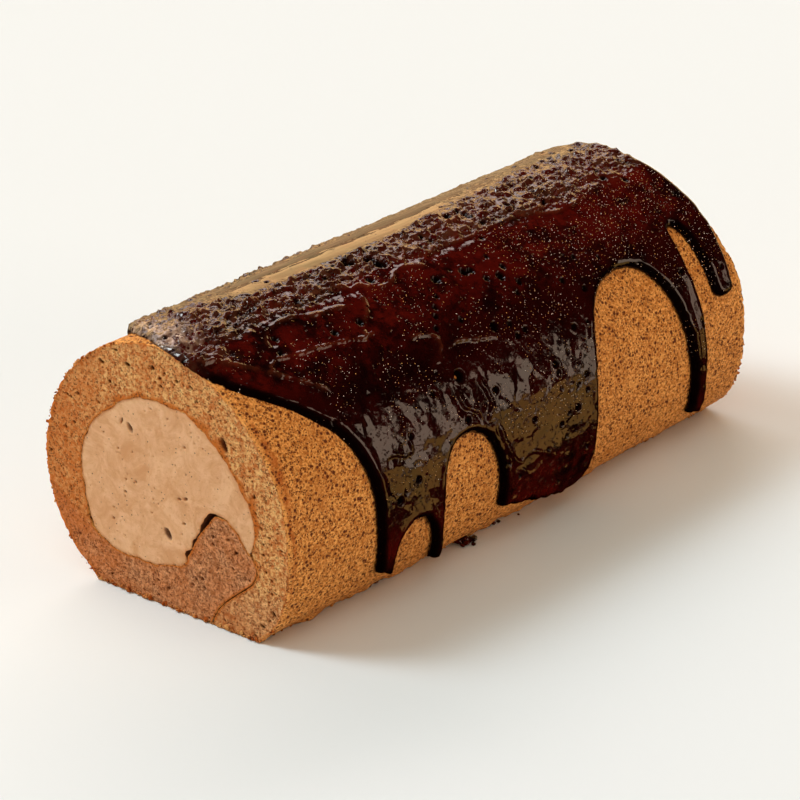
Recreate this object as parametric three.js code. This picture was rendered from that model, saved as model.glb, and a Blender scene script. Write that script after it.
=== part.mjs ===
// Swiss roll cake: one sheet of chocolate sponge rolled round a cream filling,
// trimmed at both ends, with chocolate glaze poured along the top and running down the sides.
//
// Millimetres. +X runs along the roll from the near cut face to the far one, +Z is up, and
// the front of the roll is its -Y side. In section, points are [y, z] pairs, and z = 0 is the
// flat base that the roll rests on. The origin ends up at the middle of the base.

import * as THREE from 'three';
import { TessellateModifier } from 'three/addons/modifiers/TessellateModifier.js';

// ---------------------------------------------------------------- the roll

const LENGTH = 180; // between the cut faces, along the axis
const NEAR_CUT_ANGLE = 6.5; // degrees that the near cut is off square
const FAR_CUT_ANGLE = 9.4; // degrees that the far cut is off square
const FAR_WIDTH = 1.066; // section width at the far end, where the roll has settled
const FAR_HEIGHT = 0.947; // section height at the far end
const FOOT_SPREAD = 0.035; // share by which the foot of the roll is wider at mid length
const FOOT_HEIGHT = 42; // height from which the roll keeps its plain width

// Outer skin in section, from the back corner of the base over the top to the front corner.
const SKIN = [
  [24.8, 0], [32.4, 6.4], [38.8, 17], [41.8, 30], [40.8, 43], [36, 55], [28, 65.5], [16.5, 74],
  [3, 77.8], [-11, 75.3], [-24, 68.3], [-34, 57], [-39.8, 45], [-41.6, 31], [-40.6, 18],
  [-36.6, 6.5], [-30, 0],
];

// Inner face of the sheet round the filling, from the seam up the front wall, over the top,
// down the back wall and along the floor to the root of the curled inner end.
const INNER_FACE = [
  [-29.2, 27], [-30.5, 34], [-28.4, 41], [-23, 49], [-17, 55.5], [-9.5, 60.3], [-1, 61.6],
  [8, 61], [17, 55.3], [25, 47], [29, 37], [28.3, 26], [26.4, 16.5], [20, 12.4], [10, 11.3],
  [1, 12.4], [-6, 15],
];

// The curled inner end of the sheet, from its root over its round tip to the seam.
const CURLED_END = [[-6, 15], [-9.4, 22], [-13.6, 29], [-18.5, 33.6], [-23.2, 31.8], [-28.3, 25.8]];

// Middle of the seam where the sheet's outer end laps the roll, from the filling to the base.
const SEAM = [[-29.2, 26], [-30.9, 21.6], [-29.4, 17.6], [-23.2, 11.8], [-17.6, 6.2], [-14.3, 0]];

// ---------------------------------------------------------------- the glaze

const GLAZE_THICKNESS = 2.4;
const GLAZE_EDGE = 1.1; // how far in from its outline the glaze is rounded off

// Waves that the palette knife left in the glaze: their height, and their length along the roll
// and down its side.
const WAVES = [
  { height: 0.2, along: 72, down: 105 },
  { height: 0.18, along: -150, down: 42 },
];

// The glaze is drawn laid out flat: [x, run], where run is the distance down the skin from
// the crest. Every drip has pairs of values, for the side that the edge comes down on and the
// side that it goes up on: the two sides' x, how far down each reaches, how far its corner is
// rounded, and how far it leans. Between two drips the glaze ends in an arch over bare sponge,
// whose crown is at [at, level].
const FRONT = {
  start: [0.3, 12],
  sweep: [[1.6, 34], [35.5, 34], [35.5, 72]], // one long curve from the near rim into the first drip
  drips: [
    { sides: [36.8, 43.8], reach: [92, 94.5], round: [2.4, 1.6], lean: [0, 0.8] },
    { sides: [58.8, 62.8], reach: [97, 97.5], round: [1.6, 1.6], lean: [2.2, 3.8] },
    { sides: [82.8, 121.6], reach: [89.5, 96.5], round: [2.6, 13], lean: [0, 0] },
    { sides: [163.8, 170.4], reach: [91.5, 94], round: [1.4, 1.4], lean: [3.2, 3.2] },
    { sides: [174.2, 182.8], reach: [57, 57], round: [4, 4], lean: [0.4, 0.4] },
  ],
  arches: [
    { at: 51, level: 78.6 },
    { at: 69, level: 61.4 },
    { at: 143.6, level: 37.2 },
    { at: 169.4, level: 32.2 },
  ],
  end: [184.4, 35],
};

const BACK = {
  start: [174.8, 30],
  sweep: [[174, 44], [166.5, 42], [165.5, 62]],
  drips: [
    { sides: [164.8, 156.4], reach: [90, 90], round: [4, 4], lean: [-0.6, -0.6] },
    { sides: [142, 112.5], reach: [84, 88], round: [9, 4], lean: [0.6, 0.6] },
    { sides: [92.4, 84.2], reach: [68, 68], round: [4, 4], lean: [0.6, 0.6] },
    { sides: [67, 60.2], reach: [93, 95], round: [2.4, 2], lean: [-1, -1] },
    { sides: [36.6, 27.4], reach: [76, 76], round: [4.2, 4.2], lean: [-0.6, -0.6] },
  ],
  arches: [
    { at: 149.6, level: 58 },
    { at: 101.5, level: 43 },
    { at: 75.5, level: 56 },
    { at: 46.5, level: 38 },
  ],
  end: [21, 38],
};

const FAR_RIM = [183, -8]; // bends the glaze's end along the far rim
const NEAR_RIM = [[10, 22], [-1.5, 9]]; // bends its other end along the near rim, and back from it
const ARCH_SPREAD = 0.68; // how far along the arch its top stays level
const ARCH_DROP = 0.3; // how soon its side turns straight down
const BACK_SIDE = 1;
const FRONT_SIDE = -1;

// ---------------------------------------------------------------- fineness and clearances

const GAP = 0.3; // clearance between neighbouring pieces
const SEAM_GAP = 0.6; // width of the open seam
const SECTION_STEP = 3.5; // spacing of section points
const ROLL_STEPS = 5; // lengths that a lofted piece is divided into
const OUTLINE_STEP = 4.4; // spacing of points along the edge of the glaze
const GLAZE_FACET = 7.5; // longest run of a glaze facet down the skin
const FACET_STRETCH = 4; // how much longer a facet may be along the roll, where the skin is straight

const FACET_PASSES = 12; // most halvings of one glaze facet
const CURVE_SAMPLES = 600; // points by which a curve's length is measured

const SECTION_NORMAL = new THREE.Vector3(0, 0, 1);

/** Smooth open curve through [y, z] points of the section. */
function sectionCurve(points) {
  const knots = points.map(([y, z]) => new THREE.Vector3(y, z, 0));
  const curve = new THREE.CatmullRomCurve3(knots, false, 'centripetal');
  curve.arcLengthDivisions = CURVE_SAMPLES;
  return curve;
}

/** Evenly spaced Vector2 points along a curve, both ends included. */
function spaced(curve, step) {
  const count = Math.ceil(curve.getLength() / step);
  return curve.getSpacedPoints(count).map((point) => new THREE.Vector2(point.x, point.y));
}

/** The points of an open or closed line moved sideways, to the left of its direction. */
function shifted(points, distance, closed) {
  const last = points.length - 1;
  return points.map((point, index) => {
    const before = points[index > 0 ? index - 1 : closed ? last : 0];
    const after = points[index < last ? index + 1 : closed ? 0 : last];
    const along = after.clone().sub(before).normalize();
    return new THREE.Vector2(point.x - along.y * distance, point.y + along.x * distance);
  });
}

const skin = sectionCurve(SKIN);
const innerFace = spaced(sectionCurve(INNER_FACE), SECTION_STEP);
const curledEnd = spaced(sectionCurve(CURLED_END), SECTION_STEP);
const seam = spaced(sectionCurve(SEAM), SECTION_STEP);

/** Size of the section at x and height z, as [width, height] against the near end. */
function settle(x, z) {
  const share = x / LENGTH;
  const spread = FOOT_SPREAD * 4 * share * (1 - share) * Math.max(0, 1 - z / FOOT_HEIGHT);
  return [1 + (FAR_WIDTH - 1) * share + spread, 1 + (FAR_HEIGHT - 1) * share];
}

/** X of a point of the roll at section position y, with share 0 on the near cut and 1 on the far. */
function alongRoll(share, y) {
  const near = -Math.tan(THREE.MathUtils.degToRad(NEAR_CUT_ANGLE)) * y;
  const far = LENGTH - Math.tan(THREE.MathUtils.degToRad(FAR_CUT_ANGLE)) * y;
  return THREE.MathUtils.lerp(near, far, share);
}

/** Moves every vertex of a geometry by a function from its position to its new one. */
function reshape(geometry, place) {
  const position = geometry.attributes.position;
  const point = new THREE.Vector3();
  for (let index = 0; index < position.count; index += 1) {
    const moved = place(point.fromBufferAttribute(position, index));
    position.setXYZ(index, moved.x, moved.y, moved.z);
  }
  geometry.computeVertexNormals();
  return geometry;
}

/** A solid with one section from cut face to cut face. */
function loft(outline) {
  const settings = { depth: 1, steps: ROLL_STEPS, bevelEnabled: false };
  const geometry = new THREE.ExtrudeGeometry(new THREE.Shape(outline), settings);
  return reshape(geometry, (point) => {
    const [width, height] = settle(LENGTH * point.z, point.y);
    const y = point.x * width;
    return new THREE.Vector3(alongRoll(point.z, y), y, point.y * height);
  });
}

/** The rolled sheet: skin, base, seam, filling's hollow, seam again and base again. */
function spongeOutline() {
  const outerLip = shifted(seam, -SEAM_GAP / 2, false);
  const innerLip = shifted(seam, SEAM_GAP / 2, false);
  const wedgeSide = outerLip.slice(1).reverse();
  const curlSide = innerLip.slice(1);
  return [
    ...spaced(skin, SECTION_STEP),
    ...wedgeSide,
    ...innerFace,
    ...curledEnd.slice(1),
    ...curlSide,
  ];
}

/** The filling, which takes up the sheet's hollow and its narrow mouth at the seam. */
function creamOutline() {
  const hollow = [...innerFace, ...curledEnd.slice(1)];
  return shifted(hollow, -GAP, true).reverse();
}

/** Draws one long edge of the glaze, side by side drips joined by arches. */
function drawEdge(path, edge, side) {
  const [near, middle, far] = edge.sweep;
  path.bezierCurveTo(near[0], side * near[1], middle[0], side * middle[1], far[0], side * far[1]);
  edge.drips.forEach(({ sides: [enter, leave], reach, round, lean }, index) => {
    const way = Math.sign(leave - enter);
    const shoulders = [reach[0] - round[0], reach[1] - round[1]];
    const before = edge.arches[index - 1];
    if (before) {
      const turn = THREE.MathUtils.lerp(before.at, enter - lean[0], ARCH_SPREAD);
      const drop = THREE.MathUtils.lerp(before.level, shoulders[0], ARCH_DROP);
      path.bezierCurveTo(
        turn, side * before.level, enter - lean[0], side * drop, enter, side * shoulders[0],
      );
    } else {
      path.lineTo(enter, side * shoulders[0]);
    }
    path.quadraticCurveTo(enter, side * reach[0], enter + way * round[0], side * reach[0]);
    path.lineTo(leave - way * round[1], side * reach[1]);
    path.quadraticCurveTo(leave, side * reach[1], leave, side * shoulders[1]);
    const after = edge.arches[index];
    if (after) {
      const turn = THREE.MathUtils.lerp(after.at, leave - lean[1], ARCH_SPREAD);
      const drop = THREE.MathUtils.lerp(after.level, shoulders[1], ARCH_DROP);
      path.bezierCurveTo(
        leave - lean[1], side * drop, turn, side * after.level, after.at, side * after.level,
      );
    }
  });
  path.lineTo(edge.end[0], side * edge.end[1]);
}

/** Outline of the glaze laid out flat, with its front edge below and its back edge above. */
function glazeOutline() {
  const path = new THREE.Path();
  path.moveTo(FRONT.start[0], FRONT_SIDE * FRONT.start[1]);
  drawEdge(path, FRONT, FRONT_SIDE);
  path.quadraticCurveTo(...FAR_RIM, BACK.start[0], BACK_SIDE * BACK.start[1]);
  drawEdge(path, BACK, BACK_SIDE);
  path.bezierCurveTo(...NEAR_RIM[0], ...NEAR_RIM[1], FRONT.start[0], FRONT_SIDE * FRONT.start[1]);
  const count = Math.round(path.getLength() / OUTLINE_STEP);
  return path.getSpacedPoints(count).slice(0, -1);
}

/** Share of the skin curve's length at which the roll is highest. */
function crestShare() {
  const tries = Array.from({ length: CURVE_SAMPLES + 1 }, (_, index) => index / CURVE_SAMPLES);
  const height = (share) => skin.getPointAt(share).y;
  return tries.reduce((best, share) => (height(share) > height(best) ? share : best));
}

/** How far the waves lift the face of the glaze. */
function ripple(x, run) {
  const lift = ({ height, along, down }) => height * Math.sin(2 * Math.PI * (x / along + run / down));
  return WAVES.reduce((sum, wave) => sum + lift(wave), 0);
}

/** The sheet of glaze, bevelled flat and then wrapped over the skin of the roll. */
function glazeGeometry() {
  const bevel = { bevelSize: GLAZE_EDGE, bevelOffset: -GLAZE_EDGE, bevelSegments: 2 };
  const layers = { depth: GLAZE_THICKNESS - 2 * GLAZE_EDGE, bevelThickness: GLAZE_EDGE, steps: 1 };
  const sheet = new THREE.ExtrudeGeometry(new THREE.Shape(glazeOutline()), { ...bevel, ...layers });
  sheet.scale(1 / FACET_STRETCH, 1, 1);
  const divided = new TessellateModifier(GLAZE_FACET, FACET_PASSES).modify(sheet);
  divided.scale(FACET_STRETCH, 1, 1);
  const crest = crestShare();
  const skinLength = skin.getLength();
  return reshape(divided, (point) => {
    const share = crest - point.y / skinLength;
    const foot = skin.getPointAt(share);
    const along = skin.getTangentAt(share);
    const outward = new THREE.Vector3().crossVectors(along, SECTION_NORMAL);
    const lift = point.z + GLAZE_EDGE;
    const wave = (lift / GLAZE_THICKNESS) * ripple(point.x, point.y);
    foot.addScaledVector(outward, GAP + lift + wave);
    const [width, height] = settle(point.x, foot.y);
    return new THREE.Vector3(point.x, foot.x * width, foot.y * height);
  });
}

/** A named piece with its colour and finish. */
function piece(name, geometry, color, roughness) {
  const material = new THREE.MeshStandardMaterial({ color, roughness, metalness: 0 });
  const mesh = new THREE.Mesh(geometry, material);
  mesh.name = name;
  return mesh;
}

const roll = new THREE.Group();
roll.add(piece('sponge', loft(spongeOutline()), 0xae6d35, 0.9));
roll.add(piece('cream', loft(creamOutline()), 0xd3a077, 0.7));
roll.add(piece('glaze', glazeGeometry(), 0x2c0c08, 0.18));

const bounds = new THREE.Box3().setFromObject(roll);
const middle = bounds.getCenter(new THREE.Vector3());
roll.position.set(-middle.x, -middle.y, -bounds.min.z);

export default roll;
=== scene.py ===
"""Swiss roll cake: baked sponge, cream filling, poured chocolate glaze and gold dust.

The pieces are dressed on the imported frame. Sizes of the cake are in millimetres and become metres
where a mesh is made. In the roll's own frame +X runs along the roll from the near cut face, -Y is
its front and z = 0 is its base.
"""

import sys

import logging
import math
from dataclasses import dataclass, field, replace
from enum import Enum, IntEnum, auto

import bpy
import numpy as np
from mathutils import Matrix, Vector, kdtree, noise
from mathutils.geometry import delaunay_2d_cdt


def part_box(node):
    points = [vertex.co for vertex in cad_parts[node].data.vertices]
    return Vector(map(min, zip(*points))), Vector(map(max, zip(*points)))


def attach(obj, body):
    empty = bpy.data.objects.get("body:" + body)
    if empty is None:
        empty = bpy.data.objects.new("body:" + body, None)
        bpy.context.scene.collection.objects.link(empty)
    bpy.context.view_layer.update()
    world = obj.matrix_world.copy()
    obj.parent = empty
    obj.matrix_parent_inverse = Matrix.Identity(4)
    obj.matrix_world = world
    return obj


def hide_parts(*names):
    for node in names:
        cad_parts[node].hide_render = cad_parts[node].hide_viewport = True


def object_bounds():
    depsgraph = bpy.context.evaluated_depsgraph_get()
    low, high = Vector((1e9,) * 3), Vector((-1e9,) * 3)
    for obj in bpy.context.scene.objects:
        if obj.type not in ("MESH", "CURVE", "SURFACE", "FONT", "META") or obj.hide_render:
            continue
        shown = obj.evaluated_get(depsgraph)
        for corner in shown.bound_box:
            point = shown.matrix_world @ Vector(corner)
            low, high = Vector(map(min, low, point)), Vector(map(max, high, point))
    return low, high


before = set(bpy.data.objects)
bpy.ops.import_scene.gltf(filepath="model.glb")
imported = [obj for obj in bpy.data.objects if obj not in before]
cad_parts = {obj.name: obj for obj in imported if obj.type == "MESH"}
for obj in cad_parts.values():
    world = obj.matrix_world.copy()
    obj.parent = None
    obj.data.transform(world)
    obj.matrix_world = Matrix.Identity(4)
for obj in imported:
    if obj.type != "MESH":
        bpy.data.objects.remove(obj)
CAD_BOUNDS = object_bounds()

MM = 0.001
WELD = 1e-5
LOG = logging.getLogger("swiss_roll")

Array = np.ndarray
Pair = tuple[float, float]
Triple = tuple[float, float, float]
Socket = bpy.types.NodeSocket
Material = bpy.types.Material
Piece = bpy.types.Object


# ---------- curves and fields


def ease(low: float, high: float, value: Array) -> Array:
    """Eases values from 0 at low to 1 at high, which may be below low."""
    share = np.clip((value - low) / (high - low), 0.0, 1.0)
    return share * share * (3.0 - 2.0 * share)


class Curve:
    """A smooth open line through knots in a plane, measured along its length."""

    SPAN_POINTS = 64

    def __init__(self, knots: list[Pair]) -> None:
        """Fits a centripetal Catmull-Rom line.

        Args:
            knots: Points that the line passes through, in mm.
        """
        inner = np.array(knots, float)
        before = 2.0 * inner[0] - inner[1]
        after = 2.0 * inner[-1] - inner[-2]
        points = np.vstack([before, inner, after])
        spans = [self._span(points[i : i + 4]) for i in range(len(inner) - 1)]
        self.points = np.vstack([*spans, inner[-1:]])
        steps = np.linalg.norm(np.diff(self.points, axis=0), axis=1)
        self.lengths = np.concatenate([[0.0], np.cumsum(steps)])
        self.length = float(self.lengths[-1])

    def _span(self, corners: Array) -> Array:
        """Points of the stretch between the second and third of four corners."""
        gaps = np.maximum(np.sqrt(np.linalg.norm(np.diff(corners, axis=0), axis=1)), 1e-6)
        p0, p1, p2, p3 = corners
        d0, d1, d2 = gaps
        start = ((p1 - p0) / d0 - (p2 - p0) / (d0 + d1) + (p2 - p1) / d1) * d1
        end = ((p2 - p1) / d1 - (p3 - p1) / (d1 + d2) + (p3 - p2) / d2) * d1
        t = np.linspace(0.0, 1.0, self.SPAN_POINTS, endpoint=False)[:, None]
        cubic = 2.0 * p1 - 2.0 * p2 + start + end
        square = -3.0 * p1 + 3.0 * p2 - 2.0 * start - end
        return p1 + start * t + square * t**2 + cubic * t**3

    def at(self, distance: Array) -> Array:
        """Points at distances in mm from the start of the line, one row for each."""
        columns = [np.interp(distance, self.lengths, self.points[:, k]) for k in (0, 1)]
        return np.stack(columns, axis=-1)

    def right_of(self, distance: Array) -> Array:
        """Unit vectors to the right of the line's direction.

        Args:
            distance: Distances from the start, in mm.

        Returns:
            One row for each distance.
        """
        reach = 0.4
        along = self.at(np.asarray(distance) + reach) - self.at(np.asarray(distance) - reach)
        along /= np.maximum(np.linalg.norm(along, axis=-1, keepdims=True), 1e-9)
        return np.stack([along[..., 1], -along[..., 0]], axis=-1)

    def spaced(self, step: float) -> Array:
        """Evenly spaced points, both ends included."""
        count = math.ceil(self.length / step) + 1
        return self.at(np.linspace(0.0, self.length, count))


def resampled(line: Array, step: float, closed: bool) -> Array:
    """Evenly spaced points along a polyline.

    Args:
        line: Corners of the polyline.
        step: Spacing wanted, in mm.
        closed: Whether the line returns to its start.

    Returns:
        The new points; a closed line doesn't repeat its first.
    """
    corners = np.vstack([line, line[:1]]) if closed else line
    lengths = np.concatenate([[0.0], np.cumsum(np.linalg.norm(np.diff(corners, axis=0), axis=1))])
    count = max(2, round(lengths[-1] / step))
    where = np.linspace(0.0, lengths[-1], count + 1)
    where = where[:-1] if closed else where
    return np.stack([np.interp(where, lengths, corners[:, k]) for k in (0, 1)], axis=-1)


def sideways(line: Array, distance: Array | float, closed: bool) -> Array:
    """A polyline moved to the left of its direction.

    Args:
        line: Corners of the polyline.
        distance: How far each corner moves, in mm.
        closed: Whether the line returns to its start.

    Returns:
        The moved corners.
    """
    if closed:
        along = np.roll(line, -1, axis=0) - np.roll(line, 1, axis=0)
    else:
        along = np.gradient(line, axis=0)
    along /= np.maximum(np.linalg.norm(along, axis=1, keepdims=True), 1e-9)
    left = np.stack([-along[:, 1], along[:, 0]], axis=-1)
    return line + left * np.reshape(distance, (-1, 1))


class Distance:
    """Distance in the plane to the nearest of many points."""

    def __init__(self, points: Array) -> None:
        """Takes the points that distances are measured to."""
        self.tree = kdtree.KDTree(len(points))
        for index, (a, b) in enumerate(points):
            self.tree.insert((a, b, 0.0), index)
        self.tree.balance()

    def nearest(self, places: Array) -> tuple[Array, Array]:
        """Numbers of the points nearest to places in the plane, and their distances in mm."""
        found = [self.tree.find((a, b, 0.0)) for a, b in places.tolist()]
        return np.array([point[1] for point in found], int), np.array([point[2] for point in found])

    def of(self, places: Array) -> Array:
        """Distances of places in the plane, in mm."""
        return self.nearest(places)[1]


class Field(IntEnum):
    """Seeds of the smooth random fields."""

    DAMP_EDGE = 2
    SKIN_WAVES = 3
    SKIN_GRAIN = 4
    RIM_CHIPS = 5
    SCORCH_PATH = 6
    SCORCH_PATCHES = 7
    CRACK = 8
    PARTED = 9
    HOLLOW_WAVES = 10
    HOLLOW_GRAIN = 11
    LINING = 12
    TOAST = 13
    FOOT = 14
    FOOT_CRUST = 15
    GLAZE_EDGE = 31
    GLAZE_EDGE_RAGGED = 32
    LEVEL_BEND_X = 33
    LEVEL_BEND_RUN = 34
    LEVEL = 35
    FROTH_PATCHES = 36
    FROTH_LUMPS = 37
    FROTH_FINE_LUMPS = 38
    GLAZE_WAVES = 39
    FROTH_EDGE = 40
    DUST_CLOUDS = 42
    BAND_STREAKS = 44
    FACET_BEND_X = 45
    FACET_BEND_RUN = 46
    LEDGE_WANDER = 47
    LEDGE_LIP = 48
    CRINKLE = 49
    FACET_BORDERS = 50


def rough(points: Array, grain: float, octaves: int, seed: int) -> Array:
    """Smooth random field in space.

    Args:
        points: Places, two or three columns, in mm.
        grain: Size of the largest lumps, in mm.
        octaves: How many finer layers are added.
        seed: Number that gives another field.

    Returns:
        Values of about -1 to 1.
    """
    scaled = np.zeros((len(points), 3))
    scaled[:, : points.shape[1]] = points / grain
    scaled += (seed * 17.31, seed * 9.17, seed * 5.53)
    return np.array([noise.fractal(p, 1.0, 2.1, octaves) for p in scaled.tolist()])


def hex_grid(low: Array, high: Array, step: float, random: np.random.Generator) -> Array:
    """Slightly jittered points in rows, as in a honeycomb.

    Args:
        low: Lowest corner of the area, in mm.
        high: Highest corner, in mm.
        step: Spacing, in mm.
        random: Source of the jitter.

    Returns:
        The points.
    """
    jitter = 0.16
    rows = np.arange(low[1], high[1], step * math.sqrt(0.75))
    columns = np.arange(low[0], high[0], step)
    grid = np.stack(np.meshgrid(columns, rows), axis=-1)
    grid[1::2, :, 0] += step / 2.0
    flat = grid.reshape(-1, 2)
    return flat + random.uniform(-jitter, jitter, flat.shape) * step


def within(outline: Array, points: Array) -> Array:
    """Whether points lie inside a closed outline.

    Args:
        outline: Its corners in order.
        points: Rows of two columns.

    Returns:
        One truth value for each point.
    """
    inside = np.zeros(len(points), bool)
    u, v = points.T
    for (a, b), (c, d) in zip(outline.tolist(), np.roll(outline, -1, axis=0).tolist()):
        if b != d:
            inside ^= ((b > v) != (d > v)) & (u < (c - a) * (v - b) / (d - b) + a)
    return inside


def fill(outline: Array, inside: Array) -> tuple[Array, Array]:
    """Triangles that fill a closed outline, through given points inside it.

    Args:
        outline: Corners in order, anticlockwise, in mm.
        inside: Further points; those outside the outline are left out.

    Returns:
        Points, the outline's first and in order, and anticlockwise triangles.
    """
    given = np.vstack([outline, inside[within(outline, inside)]])
    count = len(outline)
    edges = [(i, (i + 1) % count) for i in range(count)]
    corners = [Vector(point) for point in given.tolist()]
    _, _, faces, origins, _, _ = delaunay_2d_cdt(corners, edges, [], 0, WELD, True)
    first = np.array([origin[0] for origin in origins])
    triangles = first[np.array(faces)]
    a, b, c = (given[triangles[:, k]] for k in range(3))
    turn = (b[:, 0] - a[:, 0]) * (c[:, 1] - a[:, 1]) - (b[:, 1] - a[:, 1]) * (c[:, 0] - a[:, 0])
    triangles[turn < 0] = triangles[turn < 0][:, ::-1]
    keep = turn != 0
    border = (triangles < count).all(axis=1)
    keep[border] &= within(outline, (a + b + c)[border] / 3.0)
    return given, triangles[keep]


def zipped(lower: Array, lower_at: Array, upper: Array, upper_at: Array) -> list[tuple]:
    """Triangles between two rows of vertices that may differ in number.

    Args:
        lower: Vertex numbers of the first row.
        lower_at: Rising place of each along the row.
        upper: Vertex numbers of the second row.
        upper_at: Rising place of each along the row.

    Returns:
        Triangles, wound from the first row's direction to the second row.
    """
    triangles = []
    i = j = 0
    while i < len(lower) - 1 or j < len(upper) - 1:
        step_lower = lower_at[i + 1] if i < len(lower) - 1 else math.inf
        step_upper = upper_at[j + 1] if j < len(upper) - 1 else math.inf
        if step_lower <= step_upper:
            triangles.append((lower[i], lower[i + 1], upper[j]))
            i += 1
        else:
            triangles.append((lower[i], upper[j + 1], upper[j]))
            j += 1
    return triangles


@dataclass
class Body:
    """A mesh in the making: vertices in metres, triangles, finishes and values on vertices."""

    name: str
    vertices: Array
    triangles: Array
    finish_of: Array | None = None
    values: dict[str, Array] = field(default_factory=dict)

    def build(self, finishes: list[Material]) -> Piece:
        """Makes the Blender object.

        Args:
            finishes: Materials, in the order that finish_of counts them.

        Returns:
            The object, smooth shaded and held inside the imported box.
        """
        mesh = bpy.data.meshes.new(self.name)
        held = np.clip(self.vertices, *CAD_BOUNDS)
        mesh.from_pydata(held.tolist(), [], self.triangles.tolist())
        for material in finishes:
            mesh.materials.append(material)
        if self.finish_of is not None:
            mesh.polygons.foreach_set("material_index", self.finish_of.astype(np.int32))
        for name, values in self.values.items():
            layer = mesh.attributes.new(name, "FLOAT", "POINT")
            layer.data.foreach_set("value", values.astype(np.float32))
        mesh.shade_smooth()
        mesh.update()
        piece = bpy.data.objects.new(self.name, mesh)
        bpy.context.collection.objects.link(piece)
        return piece


def dress(piece: Piece, node: str | None = None) -> None:
    """Fixes a piece to the cake and hides the solid that it takes the place of.

    Args:
        piece: The object.
        node: Solid that the piece takes the place of, if any.
    """
    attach(piece, "root")
    if node:
        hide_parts(node)
    LOG.info("%s: %d faces", piece.name, len(piece.data.polygons))


# ---------- form of the roll


@dataclass(frozen=True)
class RollForm:
    """Size and shape of the whole roll, in its own frame."""

    length: float = 180.0
    near_cut_angle: float = 6.5
    far_cut_angle: float = 9.4
    far_width: float = 1.066
    far_height: float = 0.947
    foot_spread: float = 0.035
    foot_height: float = 42.0
    hollow_wobble: float = 0.65
    skin: Curve = Curve([
        (24.8, 0), (32.4, 6.4), (38.8, 17), (41.8, 30), (40.8, 43), (36, 55), (28, 65.5), (16.5, 74),
        (3, 77.8), (-11, 75.3), (-24, 68.3), (-34, 57), (-39.8, 45), (-41.6, 31), (-40.6, 18),
        (-36.6, 6.5), (-30, 0),
    ])
    inner_face: Curve = Curve([
        (-29.2, 27), (-30.5, 34), (-28.4, 41), (-23, 49), (-17, 55.5), (-9.5, 60.3), (-1, 61.6),
        (8, 61), (17, 55.3), (25, 47), (29, 37), (28.3, 26), (26.4, 16.5), (20, 12.4), (10, 11.3),
        (1, 12.4), (-6, 15),
    ])
    curled_end: Curve = Curve([
        (-6, 15), (-9.4, 22), (-13.6, 29), (-18.5, 33.6), (-23.2, 31.8), (-28.3, 25.8),
    ])
    seam: Curve = Curve([
        (-29.2, 26), (-30.9, 21.6), (-29.4, 17.6), (-23.2, 11.8), (-17.6, 6.2), (-14.3, 0),
    ])

    def hollow(self, step: float) -> tuple[Array, int]:
        """Edge of the hollow for the filling, a little uneven.

        Args:
            step: Spacing of its points, in mm.

        Returns:
            Its points, and how many of them come before the sheet's curled end.
        """
        face = self.inner_face.spaced(step)
        line = np.vstack([face, self.curled_end.spaced(step)[1:]])
        waves = rough(line, 4.5, 2, Field.HOLLOW_WAVES)
        uneven = self.hollow_wobble * (waves + 0.6 * rough(line, 1.6, 2, Field.HOLLOW_GRAIN))
        number = np.arange(len(line))
        uneven = uneven * ease(0.0, 3.0, np.minimum(number, number[::-1]))
        return sideways(line, uneven, False), len(face)

    @property
    def crest(self) -> float:
        """Distance along the skin at which the roll is highest."""
        return float(self.skin.lengths[np.argmax(self.skin.points[:, 1])])

    def along(self, share: Array, y: Array) -> Array:
        """X of places between the cut faces.

        Args:
            share: 0 on the near cut face, 1 on the far one.
            y: Place across the roll, in mm.

        Returns:
            X in mm.
        """
        near = -math.tan(math.radians(self.near_cut_angle)) * y
        far = self.length - math.tan(math.radians(self.far_cut_angle)) * y
        return near + (far - near) * share

    def settle(self, x: Array, z: Array) -> tuple[Array, Array]:
        """Width and height of the section at x and height z, against the near end's."""
        share = x / self.length
        low = np.maximum(0.0, 1.0 - z / self.foot_height)
        spread = self.foot_spread * 4.0 * share * (1.0 - share) * low
        return 1.0 + (self.far_width - 1.0) * share + spread, 1.0 + (self.far_height - 1.0) * share

    def loft(self, share: Array, section: Array) -> Array:
        """Places of section points along the roll.

        Args:
            share: 0 on the near cut face, 1 on the far one, one for each point.
            section: Rows of [y, z], in mm.

        Returns:
            Rows of [x, y, z], in mm.
        """
        width, height = self.settle(self.length * share, section[:, 1])
        y = section[:, 0] * width
        return np.stack([self.along(share, y), y, section[:, 1] * height], axis=-1)

    def wrap(self, x: Array, run: Array, lift: Array) -> Array:
        """Places over the skin.

        Args:
            x: Place along the roll, in mm.
            run: Distance down the skin from the crest, below 0 on the front side.
            lift: Height above the skin.

        Returns:
            Rows of [x, y, z], in mm.
        """
        distance = self.crest - run
        section = self.skin.at(distance) + self.skin.right_of(distance) * lift[:, None]
        width, height = self.settle(x, section[:, 1])
        return np.stack([x, section[:, 0] * width, section[:, 1] * height], axis=-1)

    def origin(self) -> Array:
        """Where the roll's own origin lies in the frame, in mm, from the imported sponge's box."""
        low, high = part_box("sponge")
        near = self.loft(np.zeros(len(self.skin.points)), self.skin.points)
        far = self.loft(np.ones(len(self.skin.points)), self.skin.points)
        own = np.vstack([near, far])
        middle = (np.array(low) + np.array(high)) / 2.0 / MM
        shift = middle - (own.min(axis=0) + own.max(axis=0)) / 2.0
        return np.array([shift[0], shift[1], low[2] / MM])

    def to_frame(self, places: Array) -> Array:
        """Places in the roll's own frame, in mm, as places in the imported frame, in metres."""
        return (places + self.origin()) * MM


# ---------- finishes


def colour(red: int, green: int, blue: int) -> tuple[float, float, float, float]:
    """Linear colour of a display colour given in steps of 0 to 255."""
    shares = [c / 255.0 for c in (red, green, blue)]
    linear = [c / 12.92 if c <= 0.04045 else ((c + 0.055) / 1.055) ** 2.4 for c in shares]
    return (*linear, 1.0)


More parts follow.
